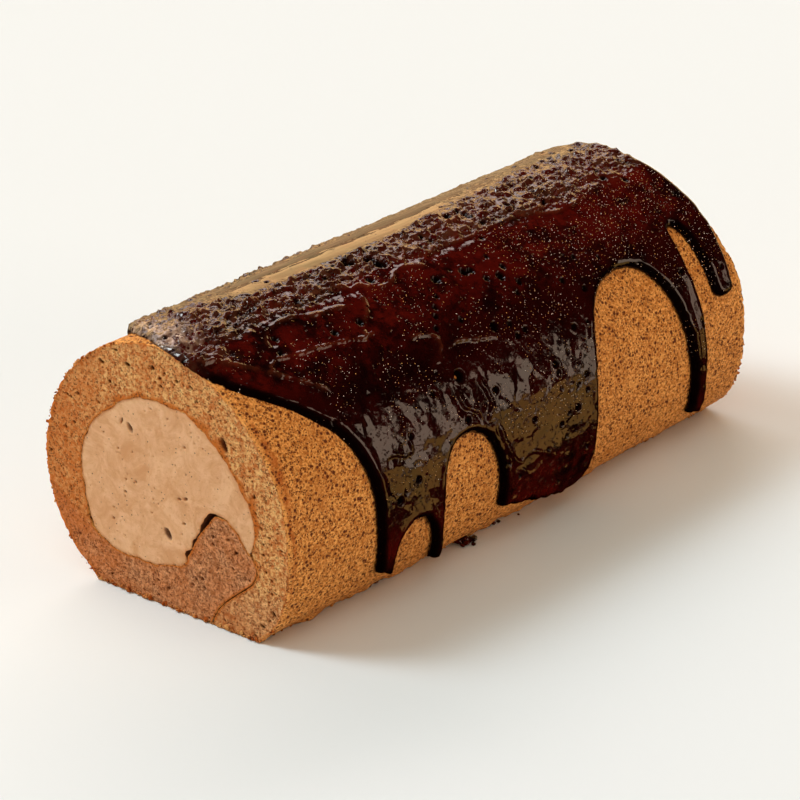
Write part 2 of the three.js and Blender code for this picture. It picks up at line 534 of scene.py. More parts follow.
class Sum(Enum):
    """Sums that a material can work out."""

    ADD = auto()
    SUBTRACT = auto()
    MULTIPLY = auto()
    MAXIMUM = auto()
    FRACT = auto()


class Recipe:
    """Node material built up step by step around one principled shader."""

    def __init__(self, name: str) -> None:
        """Starts an empty material.

        Args:
            name: Name of the material.
        """
        self.material = bpy.data.materials.new(name)
        self.material.use_nodes = True
        self.tree = self.material.node_tree
        self.shader = self.tree.nodes["Principled BSDF"]
        place = self.tree.nodes.new("ShaderNodeTexCoord")
        self.place = place.outputs["Object"]
        self.base = (0.8, 0.8, 0.8, 1.0)

    def put(self, node: bpy.types.Node, socket: str | int, value: object) -> None:
        """Links a socket to another, or sets its value."""
        target = node.inputs[socket]
        if isinstance(value, Socket):
            self.tree.links.new(value, target)
        else:
            target.default_value = value

    def pattern(self, kind: str, grain: float) -> bpy.types.Node:
        """Adds a texture node.

        Args:
            kind: Its kind.
            grain: Size of its lumps or cells, in mm.

        Returns:
            The node.
        """
        node = self.tree.nodes.new(kind)
        self.put(node, "Vector", self.place)
        self.put(node, "Scale", 1.0 / (grain * MM))
        return node

    def noise(self, grain: float, detail: float = 3.0, rough_share: float = 0.55,
              twist: float = 0.0) -> Socket:
        """Cloudy pattern.

        Args:
            grain: Size of its lumps, in mm.
            detail: Number of finer layers.
            rough_share: Strength of the finer layers.
            twist: Distortion.

        Returns:
            Its value socket.
        """
        node = self.pattern("ShaderNodeTexNoise", grain)
        self.put(node, "Detail", detail)
        self.put(node, "Roughness", rough_share)
        self.put(node, "Distortion", twist)
        return node.outputs["Fac"]

    def cells(self, grain: float) -> bpy.types.Node:
        """Cells of a size in mm round scattered points; gives the node."""
        return self.pattern("ShaderNodeTexVoronoi", grain)

    def dots(self, grain: float, low: float, high: float) -> Socket:
        """Round dots at the middles of cells, by the distance at which they start and are full."""
        return self.ramp(self.cells(grain).outputs["Distance"], low, high)

    def ramp(self, value: Socket, low: float, high: float,
             bottom: float = 0.0, top: float = 1.0) -> Socket:
        """Eased step of a value.

        Args:
            value: What is eased.
            low: Value at which the result is bottom.
            high: Value at which the result is top; it may be below low.
            bottom: Result at low.
            top: Result at high.

        Returns:
            The result's socket.
        """
        node = self.tree.nodes.new("ShaderNodeMapRange")
        node.interpolation_type = "SMOOTHSTEP"
        limits = {"From Min": low, "From Max": high, "To Min": bottom, "To Max": top}
        for socket, number in limits.items():
            self.put(node, socket, number)
        self.put(node, "Value", value)
        return node.outputs["Result"]

    def math(self, kind: Sum, a: object, b: object = 0.0) -> Socket:
        """One sum, product or the like of two values."""
        node = self.tree.nodes.new("ShaderNodeMath")
        node.operation = kind.name
        self.put(node, 0, a)
        self.put(node, 1, b)
        return node.outputs[0]

    def times(self, a: object, b: object) -> Socket:
        """Product of two values."""
        return self.math(Sum.MULTIPLY, a, b)

    def minus(self, a: object, b: object) -> Socket:
        """First value less the second."""
        return self.math(Sum.SUBTRACT, a, b)

    def larger(self, a: object, b: object) -> Socket:
        """The larger of two values."""
        return self.math(Sum.MAXIMUM, a, b)

    def blend(self, share: object, a: object, b: object) -> Socket:
        """Mix of two colours: the first at a share of 0, the second at 1."""
        node = self.tree.nodes.new("ShaderNodeMix")
        node.data_type = "RGBA"
        self.put(node, 0, share)
        self.put(node, 6, a)
        self.put(node, 7, b)
        return node.outputs[2]

    def paint(self, share: object, tone: object) -> None:
        """Lays a colour over the base colour, by share."""
        self.base = self.blend(share, self.base, tone)

    def value(self, name: str, strength: float = 1.0) -> Socket:
        """A value kept on the mesh's vertices, times its strength."""
        node = self.tree.nodes.new("ShaderNodeAttribute")
        node.attribute_name = name
        return node.outputs["Fac"] if strength == 1.0 else self.times(node.outputs["Fac"], strength)

    def bump(self, height: Socket, depth: float, strength: float = 1.0,
             below: Socket | None = None) -> Socket:
        """Fine relief.

        Args:
            height: Pattern of 0 to 1.
            depth: How many mm a height of 1 stands for.
            strength: Share of the relief that is used.
            below: Coarser relief that this one adds to.

        Returns:
            The normal.
        """
        node = self.tree.nodes.new("ShaderNodeBump")
        self.put(node, "Height", height)
        self.put(node, "Distance", depth * MM)
        self.put(node, "Strength", strength)
        if below:
            self.put(node, "Normal", below)
        return node.outputs["Normal"]

    def finish(self, **sockets: object) -> Material:
        """Sets the base colour and the sockets, named with underscores; gives the material."""
        self.put(self.shader, "Base Color", self.base)
        for name, value in sockets.items():
            words = [word if word == "IOR" else word.capitalize() for word in name.split("_")]
            self.put(self.shader, " ".join(words), value)
        return self.material


@dataclass(frozen=True)
class CrumbFinish:
    """Cut sponge: an open, speckled crumb."""

    light: tuple = colour(255, 208, 136)
    dark: tuple = colour(200, 112, 54)
    toasted: tuple = colour(206, 108, 34)
    # Pore colour: the pattern's pores, and painted shade in the holes.
    pore: tuple = colour(104, 50, 20)
    # Painted shade in the deepest holes and on the wall against the filling.
    deep: tuple = colour(40, 14, 6)
    dull_light: tuple = colour(240, 172, 120)
    dull_dark: tuple = colour(160, 100, 62)
    rind: tuple = colour(236, 132, 44)
    caramel: tuple = colour(206, 112, 38)
    pore_grain: float = 0.95

    def build(self) -> Material:
        """Makes the material."""
        mix = Recipe("sponge_crumb")
        grain = mix.noise(1.3, 5.0, 0.8)
        patches = mix.noise(9.0, 2.0)
        tone = mix.ramp(grain, 0.38, 0.64)
        main_crumb = mix.blend(tone, self.dark, self.light)
        damp = mix.blend(tone, self.dull_dark, self.dull_light)
        # Darker, pinker crumb over the sheet's inner end, its curl and the floor of the roll.
        mix.base = mix.blend(mix.value("damp"), main_crumb, damp)
        mix.paint(mix.ramp(patches, 0.4, 0.65, 0.0, 0.3), self.toasted)
        mix.paint(mix.value("toast", 0.6), self.toasted)
        mix.paint(mix.value("rind", 0.8), self.rind)
        mix.paint(mix.value("lining", 0.95), self.caramel)
        hole = mix.dots(self.pore_grain, 0.36, 0.16)
        seldom = mix.ramp(mix.noise(2.2, 2.0), 0.38, 0.54)
        fine = mix.ramp(mix.noise(0.7, 2.0, 0.6), 0.57, 0.67)
        holes = mix.larger(mix.times(hole, seldom), mix.times(fine, 0.85))
        # Painted shade: besides the pattern's pores, the crumb turns pore-brown by how deep the face sinks
        # into a hole.
        holes = mix.larger(mix.times(holes, 0.8), mix.value("pit"))
        mix.paint(holes, self.pore)
        # Painted shade: near-black in the deepest holes and on the wall that lies against the filling.
        mix.paint(mix.value("hollow"), self.deep)
        relief = mix.minus(grain, mix.times(holes, 0.5))
        normal = mix.bump(relief, 0.6, 0.95)
        return mix.finish(Roughness=0.88, Normal=normal, Specular_IOR_Level=0.2,
                          Subsurface_Weight=0.08, Subsurface_Radius=(0.004, 0.002, 0.001),
                          Subsurface_Scale=0.4)


@dataclass(frozen=True)
class SkinFinish:
    """Baked outside of the sponge sheet: tan, close-textured and full of pinholes."""

    light: tuple = colour(246, 174, 92)
    dark: tuple = colour(184, 110, 42)
    pin: tuple = colour(92, 34, 6)
    scorch: tuple = colour(176, 84, 18)
    rim: tuple = colour(248, 180, 100)
    pin_grain: float = 1.3

    def build(self) -> Material:
        """Makes the material."""
        mix = Recipe("sponge_skin")
        mottle = mix.noise(0.8, 3.0, 0.7)
        mix.base = mix.blend(mix.ramp(mottle, 0.36, 0.62), self.light, self.dark)
        cloud = mix.noise(9.0, 3.0, 0.55)
        mix.paint(mix.ramp(cloud, 0.45, 0.7, 0.0, 0.35), self.dark)
        mix.paint(mix.value("rind", 0.6), self.rim)
        mix.paint(mix.value("scorch", 0.8), self.scorch)
        cells = mix.cells(self.pin_grain)
        chance = mix.math(Sum.FRACT, mix.times(cells.outputs["Color"], 7.13))
        size = mix.ramp(chance, 0.0, 1.0, 0.02, 0.37)
        near = mix.minus(cells.outputs["Distance"], size)
        pin = mix.ramp(near, 0.12, -0.10)
        tiny = mix.dots(0.75, 0.46, 0.16)
        tiny = mix.times(tiny, mix.ramp(mix.noise(1.8, 2.0), 0.32, 0.5))
        pins = mix.larger(pin, mix.times(tiny, 0.95))
        mix.paint(mix.times(pins, 0.95), self.pin)
        relief = mix.minus(mix.times(mottle, 0.5), pins)
        normal = mix.bump(relief, 0.28, 0.85)
        return mix.finish(Roughness=0.8, Normal=normal, Specular_IOR_Level=0.25,
                          Subsurface_Weight=0.06, Subsurface_Radius=(0.004, 0.002, 0.001),
                          Subsurface_Scale=0.3)


@dataclass(frozen=True)
class CrustFinish:
    """Loose crumbs and flakes of crust, some pale, some browned."""

    pale: tuple = colour(222, 158, 92)
    brown: tuple = colour(172, 84, 26)
    burnt: tuple = colour(96, 42, 14)

    def build(self) -> Material:
        """Makes the material."""
        mix = Recipe("sponge_crust")
        mix.base = mix.blend(mix.ramp(mix.noise(3.0, 2.0), 0.4, 0.6), self.pale, self.brown)
        mix.paint(mix.ramp(mix.noise(1.0, 3.0, 0.7), 0.52, 0.66), self.burnt)
        normal = mix.bump(mix.noise(0.5, 3.0, 0.7), 0.3, 0.9)
        return mix.finish(Roughness=0.85, Normal=normal, Specular_IOR_Level=0.2)


@dataclass(frozen=True)
class CreamFinish:
    """Whipped filling, cut smooth by the knife."""

    pale: tuple = colour(242, 192, 146)
    deep: tuple = colour(220, 160, 110)
    # Bubble colour: the pattern's bubbles, and painted shade in the holes and down the side walls.
    bubble: tuple = colour(72, 30, 12)
    caramel: tuple = colour(224, 140, 74)

    def build(self) -> Material:
        """Makes the material."""
        mix = Recipe("cream")
        cloud = mix.noise(7.0, 5.0, 0.7, twist=0.8)
        mix.base = mix.blend(mix.ramp(cloud, 0.3, 0.66), self.deep, self.pale)
        streak = mix.noise(1.3, 4.0, 0.7, twist=0.6)
        mix.paint(mix.ramp(streak, 0.52, 0.68, 0.0, 0.7), self.deep)
        mix.paint(mix.value("lining", 0.6), self.caramel)
        dot = mix.dots(1.5, 0.17, 0.07)
        dot = mix.times(dot, mix.ramp(mix.noise(4.0, 2.0), 0.44, 0.58))
        # Bubble dots are a pattern; the holes and the side walls that the cracks show are painted
        # bubble-dark as shade.
        dots = mix.larger(dot, mix.value("pit"))
        mix.paint(mix.times(dots, 0.92), self.bubble)
        fine = mix.noise(1.0, 5.0, 0.7, twist=1.0)
        relief = mix.minus(fine, mix.times(dots, 0.6))
        normal = mix.bump(relief, 0.3, 0.9)
        return mix.finish(Roughness=0.62, Normal=normal, Specular_IOR_Level=0.3,
                          Subsurface_Weight=0.15, Subsurface_Radius=(0.006, 0.004, 0.002),
                          Subsurface_Scale=0.5)


@dataclass(frozen=True)
class GlazeFinish:
    """Set chocolate glaze: very dark, wet and uneven."""

    deep: tuple = colour(18, 3, 3)
    warm: tuple = colour(66, 9, 5)
    ember: tuple = colour(82, 16, 9)
    # Painted highlight: tan laid along the lips of the knife's ledges.
    thin: tuple = colour(118, 58, 34)
    froth: tuple = colour(74, 40, 26)
    # Painted reflection of the bright back light on the froth at the near corner.
    pale: tuple = colour(206, 176, 154)
    # Painted shade along the rounded edge and in the pits.
    flank: tuple = colour(8, 2, 2)
    roughness: float = 0.06
    ior: float = 1.5
    specular: float = 0.3

    def build(self) -> Material:
        """Makes the material."""
        mix = Recipe("glaze")
        patches = mix.noise(14.0, 5.0, 0.7)
        mix.base = mix.blend(mix.ramp(patches, 0.38, 0.62), self.deep, self.warm)
        glow = mix.noise(5.0, 5.0, 0.7)
        mix.paint(mix.ramp(glow, 0.46, 0.7, 0.0, 0.8), self.ember)
        # Painted shade: the steep sides below the top and the back of the roll are darkened towards deep.
        mix.paint(mix.value("shade"), self.deep)
        foam = mix.value("coarse")
        pore = mix.dots(1.6, 0.44, 0.26)
        cloud = mix.noise(2.6, 3.0, 0.65)
        veil = mix.times(foam, mix.ramp(cloud, 0.36, 0.6, 0.15, 0.95))
        veil = mix.times(veil, mix.minus(1.0, pore))
        # Painted reflection: the froth turns pale towards the near corner of the top.
        froth_tone = mix.blend(mix.value("pale"), self.froth, self.pale)
        mix.paint(veil, froth_tone)
        # Painted highlight: tan along the lips of the knife's ledges.
        mix.paint(mix.value("thin", 0.8), self.thin)
        # Painted shade: near-black along the glaze's rounded edge and in its pits.
        mix.paint(mix.value("flank"), self.flank)
        gloss = mix.math(Sum.ADD, mix.times(foam, 0.05), self.roughness)
        froth = mix.minus(mix.noise(1.7, 1.0, 0.4), mix.times(pore, 0.8))
        normal = mix.bump(mix.times(froth, foam), 0.32, 1.0)
        nick = mix.dots(1.5, 0.2, 0.08)
        nick = mix.times(nick, mix.ramp(mix.noise(3.2, 2.0), 0.46, 0.58))
        normal = mix.bump(mix.times(nick, -1.0), 0.16, 1.0, normal)
        scuff = mix.ramp(mix.noise(1.8, 3.0, 0.6, twist=1.2), 0.56, 0.7)
        normal = mix.bump(mix.times(scuff, mix.value("scuffed")), 0.09, 1.0, normal)
        skin = mix.noise(0.7, 2.0, 0.5)
        normal = mix.bump(skin, 0.012, 0.5, normal)
        mirror = mix.times(mix.minus(1.0, mix.value("hollow")), self.specular)
        return mix.finish(Roughness=gloss, Normal=normal, IOR=self.ior,
                          Specular_IOR_Level=mirror)


@dataclass(frozen=True)
class DustFinish:
    """Edible gold dust."""

    gold: tuple = colour(238, 178, 92)
    pale: tuple = colour(255, 245, 234)

    def build(self) -> Material:
        """Makes the material."""
        mix = Recipe("gold_dust")
        speck = mix.noise(1.2, 1.0)
        mix.base = mix.blend(mix.ramp(speck, 0.4, 0.6), self.gold, self.pale)
        return mix.finish(Metallic=0.2, Roughness=0.5)


@dataclass(frozen=True)
class FloorFinish:
    """Plain pale studio floor."""

    tone: tuple = colour(231, 240, 247)
    cloud: tuple = colour(230, 239, 246)

    def build(self) -> Material:
        """Makes the material."""
        mix = Recipe("floor")
        cloud = mix.noise(400.0, 1.0)
        mix.base = mix.blend(mix.ramp(cloud, 0.3, 0.7), self.tone, self.cloud)
        return mix.finish(Roughness=0.9, Specular_IOR_Level=0.0)


# ---------- cut faces


class End(IntEnum):
    """The two cut faces, by their share along the roll."""

    NEAR = 0
    FAR = 1


@dataclass(frozen=True)
class Pit:
    """A hole torn or bubbled into a cut face."""

    y: float
    z: float
    width: float
    height: float
    tilt: float = 0.0
    depth: float = 1.6

    def depth_at(self, section: Array) -> Array:
        """How deep the hole is at section points, in mm."""
        turn = math.radians(self.tilt)
        off = section - (self.y, self.z)
        across = (off[:, 0] * math.cos(turn) + off[:, 1] * math.sin(turn)) / (self.width / 2.0)
        up = (off[:, 1] * math.cos(turn) - off[:, 0] * math.sin(turn)) / (self.height / 2.0)
        return self.depth * ease(1.25, 0.55, np.hypot(across, up))

    def points(self) -> Array:
        """Section points that let the mesh follow the hole."""
        rings = []
        for share in (0.35, 0.75, 1.05, 1.35):
            count = 8 + round(8 * share)
            turns = np.arange(count) * 2.0 * math.pi / count
            ring = np.stack([np.cos(turns) * self.width, np.sin(turns) * self.height], axis=-1)
            rings.append(ring * share / 2.0)
        flat = np.vstack([*rings, np.zeros((1, 2))])
        turn = math.radians(self.tilt)
        spin = np.array([[math.cos(turn), math.sin(turn)], [-math.sin(turn), math.cos(turn)]])
        return flat @ spin + (self.y, self.z)


@dataclass(frozen=True)
class Crumb:
    """How a cut face is broken up: lumps, named holes and small scattered ones."""

    amount: float
    grain: float
    pits: tuple[Pit, ...]
    scatter: int
    scatter_size: Pair
    seed: int
    grid_seed: int = 50

    def lumps(self, section: Array) -> Array:
        """Unevenness at section points, of about -1 to 1."""
        return rough(section, self.grain, 3, self.seed)

    def holes(self, outline: Array, margin: float) -> list[Pit]:
        """The named holes, and small random ones inside an outline.

        Args:
            outline: Edge of the face.
            margin: Least distance from the edge to a random hole, in mm.

        Returns:
            All holes.
        """
        random = np.random.default_rng(self.seed)
        low, high = outline.min(axis=0), outline.max(axis=0)
        spots = random.uniform(low, high, (self.scatter * 3, 2))
        clear = Distance(outline).of(spots) > margin
        holes = list(self.pits)
        for y, z in spots[clear][: self.scatter]:
            width = random.uniform(*self.scatter_size)
            height = width * random.uniform(0.6, 1.1)
            holes.append(Pit(y, z, width, height, random.uniform(-60.0, 60.0), width * 0.8))
        return holes

    def points(self, outline: Array, step: float, holes: list[Pit]) -> Array:
        """Points inside the face, denser round its holes.

        Args:
            outline: Edge of the face, in mm.
            step: Spacing, in mm.
            holes: Holes in the face.

        Returns:
            Points that keep clear of the edge and of each other.
        """
        random = np.random.default_rng(self.seed + self.grid_seed)
        grid = hex_grid(outline.min(axis=0), outline.max(axis=0), step, random)
        special = np.vstack([hole.points() for hole in holes])
        points = np.vstack([special, grid[Distance(special).of(grid) > step * 0.45]])
        return points[Distance(outline).of(points) > step * 0.5]

    def face(self, outline: Array, step: float, margin: float) -> tuple[Array, ...]:
        """Mesh of the whole face.

        Args:
            outline: Its edge, in mm.
            step: Spacing of its points, in mm.
            margin: Least distance from the edge to a random hole, in mm.

        Returns:
            Section points inside the edge, triangles that count the edge's points first, and how
            deep the holes are at the points inside.
        """
        holes = self.holes(outline, margin)
        flat, triangles = fill(outline, self.points(outline, step, holes))
        inner = flat[len(outline):]
        return inner, triangles, np.max([hole.depth_at(inner) for hole in holes], axis=0)


@dataclass(frozen=True)
class Ring:
    """A closed row of vertices on some of an outline's points."""

    numbers: Array
    points: Array
    around: int

    def closed(self) -> tuple[Array, Array]:
        """The vertices and the points that they stand on, back to the first."""
        return np.append(self.numbers, self.numbers[0]), np.append(self.points, self.around)


@dataclass
class Shell:
    """A lofted piece in the making: section points along the roll, and triangles between them."""

    sections: list[Array] = field(default_factory=list)
    shares: list[Array] = field(default_factory=list)
    depths: list[Array] = field(default_factory=list)
    triangles: list[Array] = field(default_factory=list)
    count: int = 0

    def add(self, section: Array, share: float, depth: Array) -> Array:
        """Adds vertices.

        Args:
            section: Rows of [y, z], in mm.
            share: Their place along the roll, from 0 to 1.
            depth: How far each lies behind the cut, in mm.

        Returns:
            Their numbers.
        """
        self.sections.append(section)
        self.shares.append(np.full(len(section), share))
        self.depths.append(depth)
        self.count += len(section)
        return np.arange(self.count - len(section), self.count)

    def row(self, outline: Array, chosen: Array, share: float) -> Ring:
        """Adds a closed row of vertices on chosen points of an outline."""
        numbers = self.add(outline[chosen], share, np.zeros(len(chosen)))
        return Ring(numbers, chosen, len(outline))

    def bridge(self, lower: Ring, upper: Ring) -> None:
        """Adds the wall between two rows."""
        (low, low_at), (high, high_at) = lower.closed(), upper.closed()
        if len(low) == len(high):
            a, b, c, d = low[:-1], low[1:], high[1:], high[:-1]
            self.triangles += [np.stack([a, b, c], axis=-1), np.stack([a, c, d], axis=-1)]
        else:
            self.triangles.append(np.array(zipped(low, low_at, high, high_at)))

    def cap(self, end: End, edge: Ring, inner: Array, triangles: Array, depth: Array) -> None:
        """Closes a cut face.

        Args:
            end: Which face it is.
            edge: Row of vertices round it.
            inner: Section points inside it.
            triangles: Triangles that count the edge's vertices first and then the inner points.
            depth: How far each inner point lies behind the cut, in mm.
        """
        number = np.concatenate([edge.numbers, self.add(inner, float(end), depth)])
        self.triangles.append(number[triangles[:, ::-1] if end == End.NEAR else triangles])

    def vertices(self) -> tuple[Array, Array, Array]:
        """Section point, share along the roll and depth behind the cut of every vertex."""
        return np.vstack(self.sections), np.concatenate(self.shares), np.concatenate(self.depths)


# ---------- sponge


@dataclass
class Sponge:
    """The rolled sheet: skin, base, seam and the hollow for the filling."""

    form: RollForm
    edge_step: float = 0.8
    face_step: float = 0.5
    row_step: float = 1.2
    hidden_stride: int = 5
    pore_margin: float = 1.2
    seam_width: float = 0.34
    cut_rows: tuple[float, ...] = (0.0, 0.35, 0.8, 1.4, 2.1, 3.0)
    waviness: float = 0.28
    foot_flare: float = 1.1
    rim_chips: float = 0.8
    rind_depth: float = 0.9
    face_recess: float = 0.05
    lining_depth: Pair = (0.8, 2.7)
    near: Crumb = Crumb(
        amount=0.34,
        grain=1.5,
        pits=(
            Pit(19.8, 67.8, 1.7, 1.3, 20), Pit(10.9, 69.4, 1.9, 1.3, 10), Pit(2.1, 71.0, 1.7, 1.2, -20),
            Pit(14.6, 72.6, 1.6, 0.8, 5), Pit(-21.0, 55.6, 1.6, 3.6, -24, 3.0),
            Pit(-19.6, 52.0, 2.6, 1.9, 20, 3.2), Pit(-31.7, 5.2, 1.6, 1.0, 15), Pit(-6.0, 69.5, 1.0, 0.8),
            Pit(-30.5, 43.5, 0.9, 1.4, 20), Pit(-35.0, 33.0, 0.9, 0.8), Pit(-22.5, 19.5, 1.2, 0.7, 40),
            Pit(-26.5, 14.6, 1.5, 0.6, 42), Pit(34.0, 44.0, 1.0, 1.2), Pit(-16.0, 27.0, 0.8, 1.1),
            Pit(4.0, 7.0, 1.0, 0.7), Pit(-35.5, 10.5, 1.2, 0.9, 50),
        ),
        scatter=260,
        scatter_size=(0.4, 1.15),
        seed=11,
    )
    far: Crumb = replace(
        near,
        pits=(
            Pit(-18.0, 66.5, 1.8, 1.2, 30), Pit(24.0, 62.5, 1.5, 1.1), Pit(35.5, 36.0, 1.2, 2.0, 12, 1.8),
            Pit(-35.2, 38.0, 1.4, 1.0), Pit(12.0, 5.6, 1.6, 0.9, 8), Pit(0.0, 70.2, 1.3, 1.0),
        ),
        seed=12,
    )

    def outline(self) -> tuple[Array, Array]:
        """The sheet's section as a closed line.

        Returns:
            Its points, anticlockwise, and whether each lies on the skin or the base.
        """
        half = self.seam_width / 2.0
        skin = self.form.skin.spaced(self.edge_step)
        seam = self.form.seam.spaced(self.edge_step)
        wedge_lip = sideways(seam, -half, False)[2:][::-1]
        curl_lip = sideways(seam, half, False)[2:]
        wedge_lip[0, 1] = curl_lip[-1, 1] = 0.0
        hollow, _ = self.form.hollow(self.edge_step)
        front_base = resampled(np.vstack([skin[-1], wedge_lip[0]]), self.edge_step, False)[1:-1]
        back_base = resampled(np.vstack([curl_lip[-1], skin[0]]), self.edge_step, False)[1:-1]
        parts = [skin, front_base, wedge_lip, hollow, curl_lip, back_base]
        shown = np.concatenate([np.full(len(p), i == 0) for i, p in enumerate(parts)])
        return np.vstack(parts), shown

    def rows(self) -> Array:
        """Distances of the rows of vertices from the near cut face, in mm."""
        starts = np.array(self.cut_rows)
        length = self.form.length
        count = round((length - 2.0 * starts[-1]) / self.row_step)
        middle = np.linspace(starts[-1], length - starts[-1], count + 1)[1:-1]
        return np.concatenate([starts, middle, (length - starts)[::-1]])

    def damp(self, section: Array) -> Array:
        """Share of darker, pinker crumb: the sheet's inner end, with its curl and the floor of the roll."""
        y, z = section[:, 0], section[:, 1]
        wobble = 1.6 * rough(section, 6.0, 3, Field.DAMP_EDGE)
        top = np.where(y > 27.0, 17.0 + 0.6 * (y - 27.0), 37.0)
        seam = self.form.seam.points[::-1]
        behind_seam = np.where(z < 27.0, y - np.interp(z, seam[:, 1], seam[:, 0]), y + 29.5)
        wedge = 0.55 * ease(22.0, 8.0, z + 2.0 * wobble) * ease(0.3, -0.3, behind_seam)
        return ease(1.2, -1.2, z - top + wobble) * ease(-0.3, 0.3, behind_seam) + wedge

    def lining(self, section: Array) -> Array:
        """Depth of the browned edge along the filling, in mm: widest over its top and down its front."""
        thin, thick = self.lining_depth
        y, z = section.T
        wide = np.maximum(ease(48.0, 56.0, z), ease(-22.0, -27.0, y) * ease(28.0, 34.0, z))
        uneven = np.clip(0.6 + 1.8 * rough(section, 3.4, 3, Field.LINING), 0.1, 1.4)
        return thin + (thick - thin) * wide * uneven

    def toast(self, section: Array) -> Array:
        """Share of deeper bake in the crumb, towards the back of the roll and its rim."""
        y, _ = section.T
        return np.clip(ease(8.0, 36.0, y) + 0.5 * rough(section, 7.0, 2, Field.TOAST), 0.0, 1.0)

    def relief(self, places: Array, section: Array) -> Array:
        """How far the skin bulges at places on it, in mm."""
        soft = rough(places, 26.0, 3, Field.SKIN_WAVES) * self.waviness * 1.6
        fine = rough(places, 3.2, 2, Field.SKIN_GRAIN) * self.waviness * 0.45
        foot = self.foot_flare * ease(3.2, 0.3, section[:, 1])
        foot = foot * np.clip(0.35 + 1.5 * rough(places * (1.0, 0.2, 0.2), 6.0, 3, Field.FOOT), 0.0, 1.4)
        return (soft + fine) * ease(0.0, 7.0, section[:, 1]) + foot

    def build(self) -> Piece:
        """Builds and dresses the sponge.

        Returns:
            The object.
        """
        outline, shown = self.outline()
        shell = Shell()
        rings = self.walls(shell, outline, shown)
        wall_count = sum(len(triangles) for triangles in shell.triangles)
        for end, crumb in ((End.NEAR, self.near), (End.FAR, self.far)):
            inner, triangles, holes = crumb.face(outline, self.face_step, self.pore_margin)
            edge = ease(0.0, 1.2, Distance(outline).of(inner))
            lumps = crumb.amount * (crumb.lumps(inner) - 0.35)
            shell.cap(end, rings[end], inner, triangles, (holes - lumps) * edge + self.face_recess)
        section, share, depth = shell.vertices()
        places = self.form.loft(share, section)
        places += self.skin_shift(places, section, share, outline, shown)
        places[:, 0] += depth * np.where(share > 0.5, -1.0, 1.0)
        values = self.values(places, section, share, depth, outline, shown)
        stacked = np.vstack(shell.triangles)
        finish_of = (np.arange(len(stacked)) < wall_count).astype(int)
        body = Body("sponge_sheet", self.form.to_frame(places), stacked, finish_of, values)
        piece = body.build([CrumbFinish().build(), SkinFinish().build()])
        dress(piece, "sponge")
        return piece

    def walls(self, shell: Shell, outline: Array, shown: Array) -> tuple[Ring, Ring]:
        """Adds the rows of vertices from cut to cut, and the walls between them.

        Args:
            shell: What they are added to.
            outline: The section's outline.
            shown: Which outline points are skin; between the cut faces the others are spaced wider.

        Returns:
            The rows on the near and on the far cut face.
        """
        every = np.arange(len(outline))
        kept = np.flatnonzero(shown | (every % self.hidden_stride == 0))
        distances = self.rows()
        rings = []
        for distance in distances:
            at_cut = distance in (distances[0], distances[-1])
            rings.append(shell.row(outline, every if at_cut else kept, distance / self.form.length))
        for lower, upper in zip(rings, rings[1:]):
            shell.bridge(lower, upper)
        return rings[0], rings[-1]

    def values(self, places: Array, section: Array, share: Array, depth: Array,
               outline: Array, shown: Array) -> dict[str, Array]:
        """What the finishes read from the vertices.

        Args:
            places: The vertices, in mm.
            section: Their section points.
            share: Their share along the roll.
            depth: How far they lie behind the cut.
            outline: The section's outline.
            shown: Which outline points are skin.

        Returns:
            Shares of 0 to 1 for each vertex, by name.
        """
        skin_edge = Distance(outline[shown]).of(section)
        inner_wall = ~shown & (outline[:, 1] > 0.4)
        hollow_edge = Distance(outline[inner_wall]).of(section)
        on_face = (share <= 0.0) | (share >= 1.0)
        from_cut = np.minimum(share, 1.0 - share) * self.form.length
        rind = ease(self.rind_depth, 0.1, skin_edge)
        lining = ease(1.0, 0.35, hollow_edge / self.lining(section))
        inside = ease(0.2, 1.0, from_cut) * (hollow_edge < 0.1)
        return {
            "rind": np.where(on_face, rind, self.crust(places, from_cut)),
            "lining": np.where(on_face, lining, 0.0),
            "toast": self.toast(section),
            "damp": self.damp(section),
            # Painted shade: how deep each vertex sinks into a hole of the cut face.
            "pit": ease(0.35, 0.9, depth),
            # Painted shade for the deepest holes and for the wall against the filling.
            "hollow": np.maximum(ease(0.9, 1.4, depth), inside),
            "scorch": self.scorch(places, section),
        }

    def crust(self, places: Array, from_cut: Array) -> Array:
        """Share of pale, broken crust on the skin, at the rims and in places along the foot."""
        patches = ease(-0.1, 0.2, rough(places, 9.0, 3, Field.FOOT_CRUST))
        foot = ease(3.4, 1.4, places[:, 2]) * patches
        return np.maximum(ease(1.3, 0.2, from_cut), foot)

    def scorch(self, places: Array, section: Array) -> Array:
        """Share of darker bake, in a ragged streak down the front skin close behind the near rim."""
        from_rim = places[:, 0] - self.form.along(np.zeros(len(places)), places[:, 1])
        z = section[:, 1]
        middle = 1.7 + 0.9 * rough(places, 5.0, 2, Field.SCORCH_PATH) + 0.8 * ease(40.0, 56.0, z)
        half = 0.5 + 1.3 * ease(40.0, 50.0, z) * ease(64.0, 56.0, z)
        streak = ease(1.3, 0.5, np.abs(from_rim - middle) / half)
        tall = ease(12.0, 20.0, z) * ease(70.0, 62.0, z)
        front = ease(-20.0, -28.0, section[:, 0])
        patches = np.clip(0.7 + 0.9 * rough(places, 2.5, 3, Field.SCORCH_PATCHES), 0.0, 1.0)
        return front * streak * tall * patches

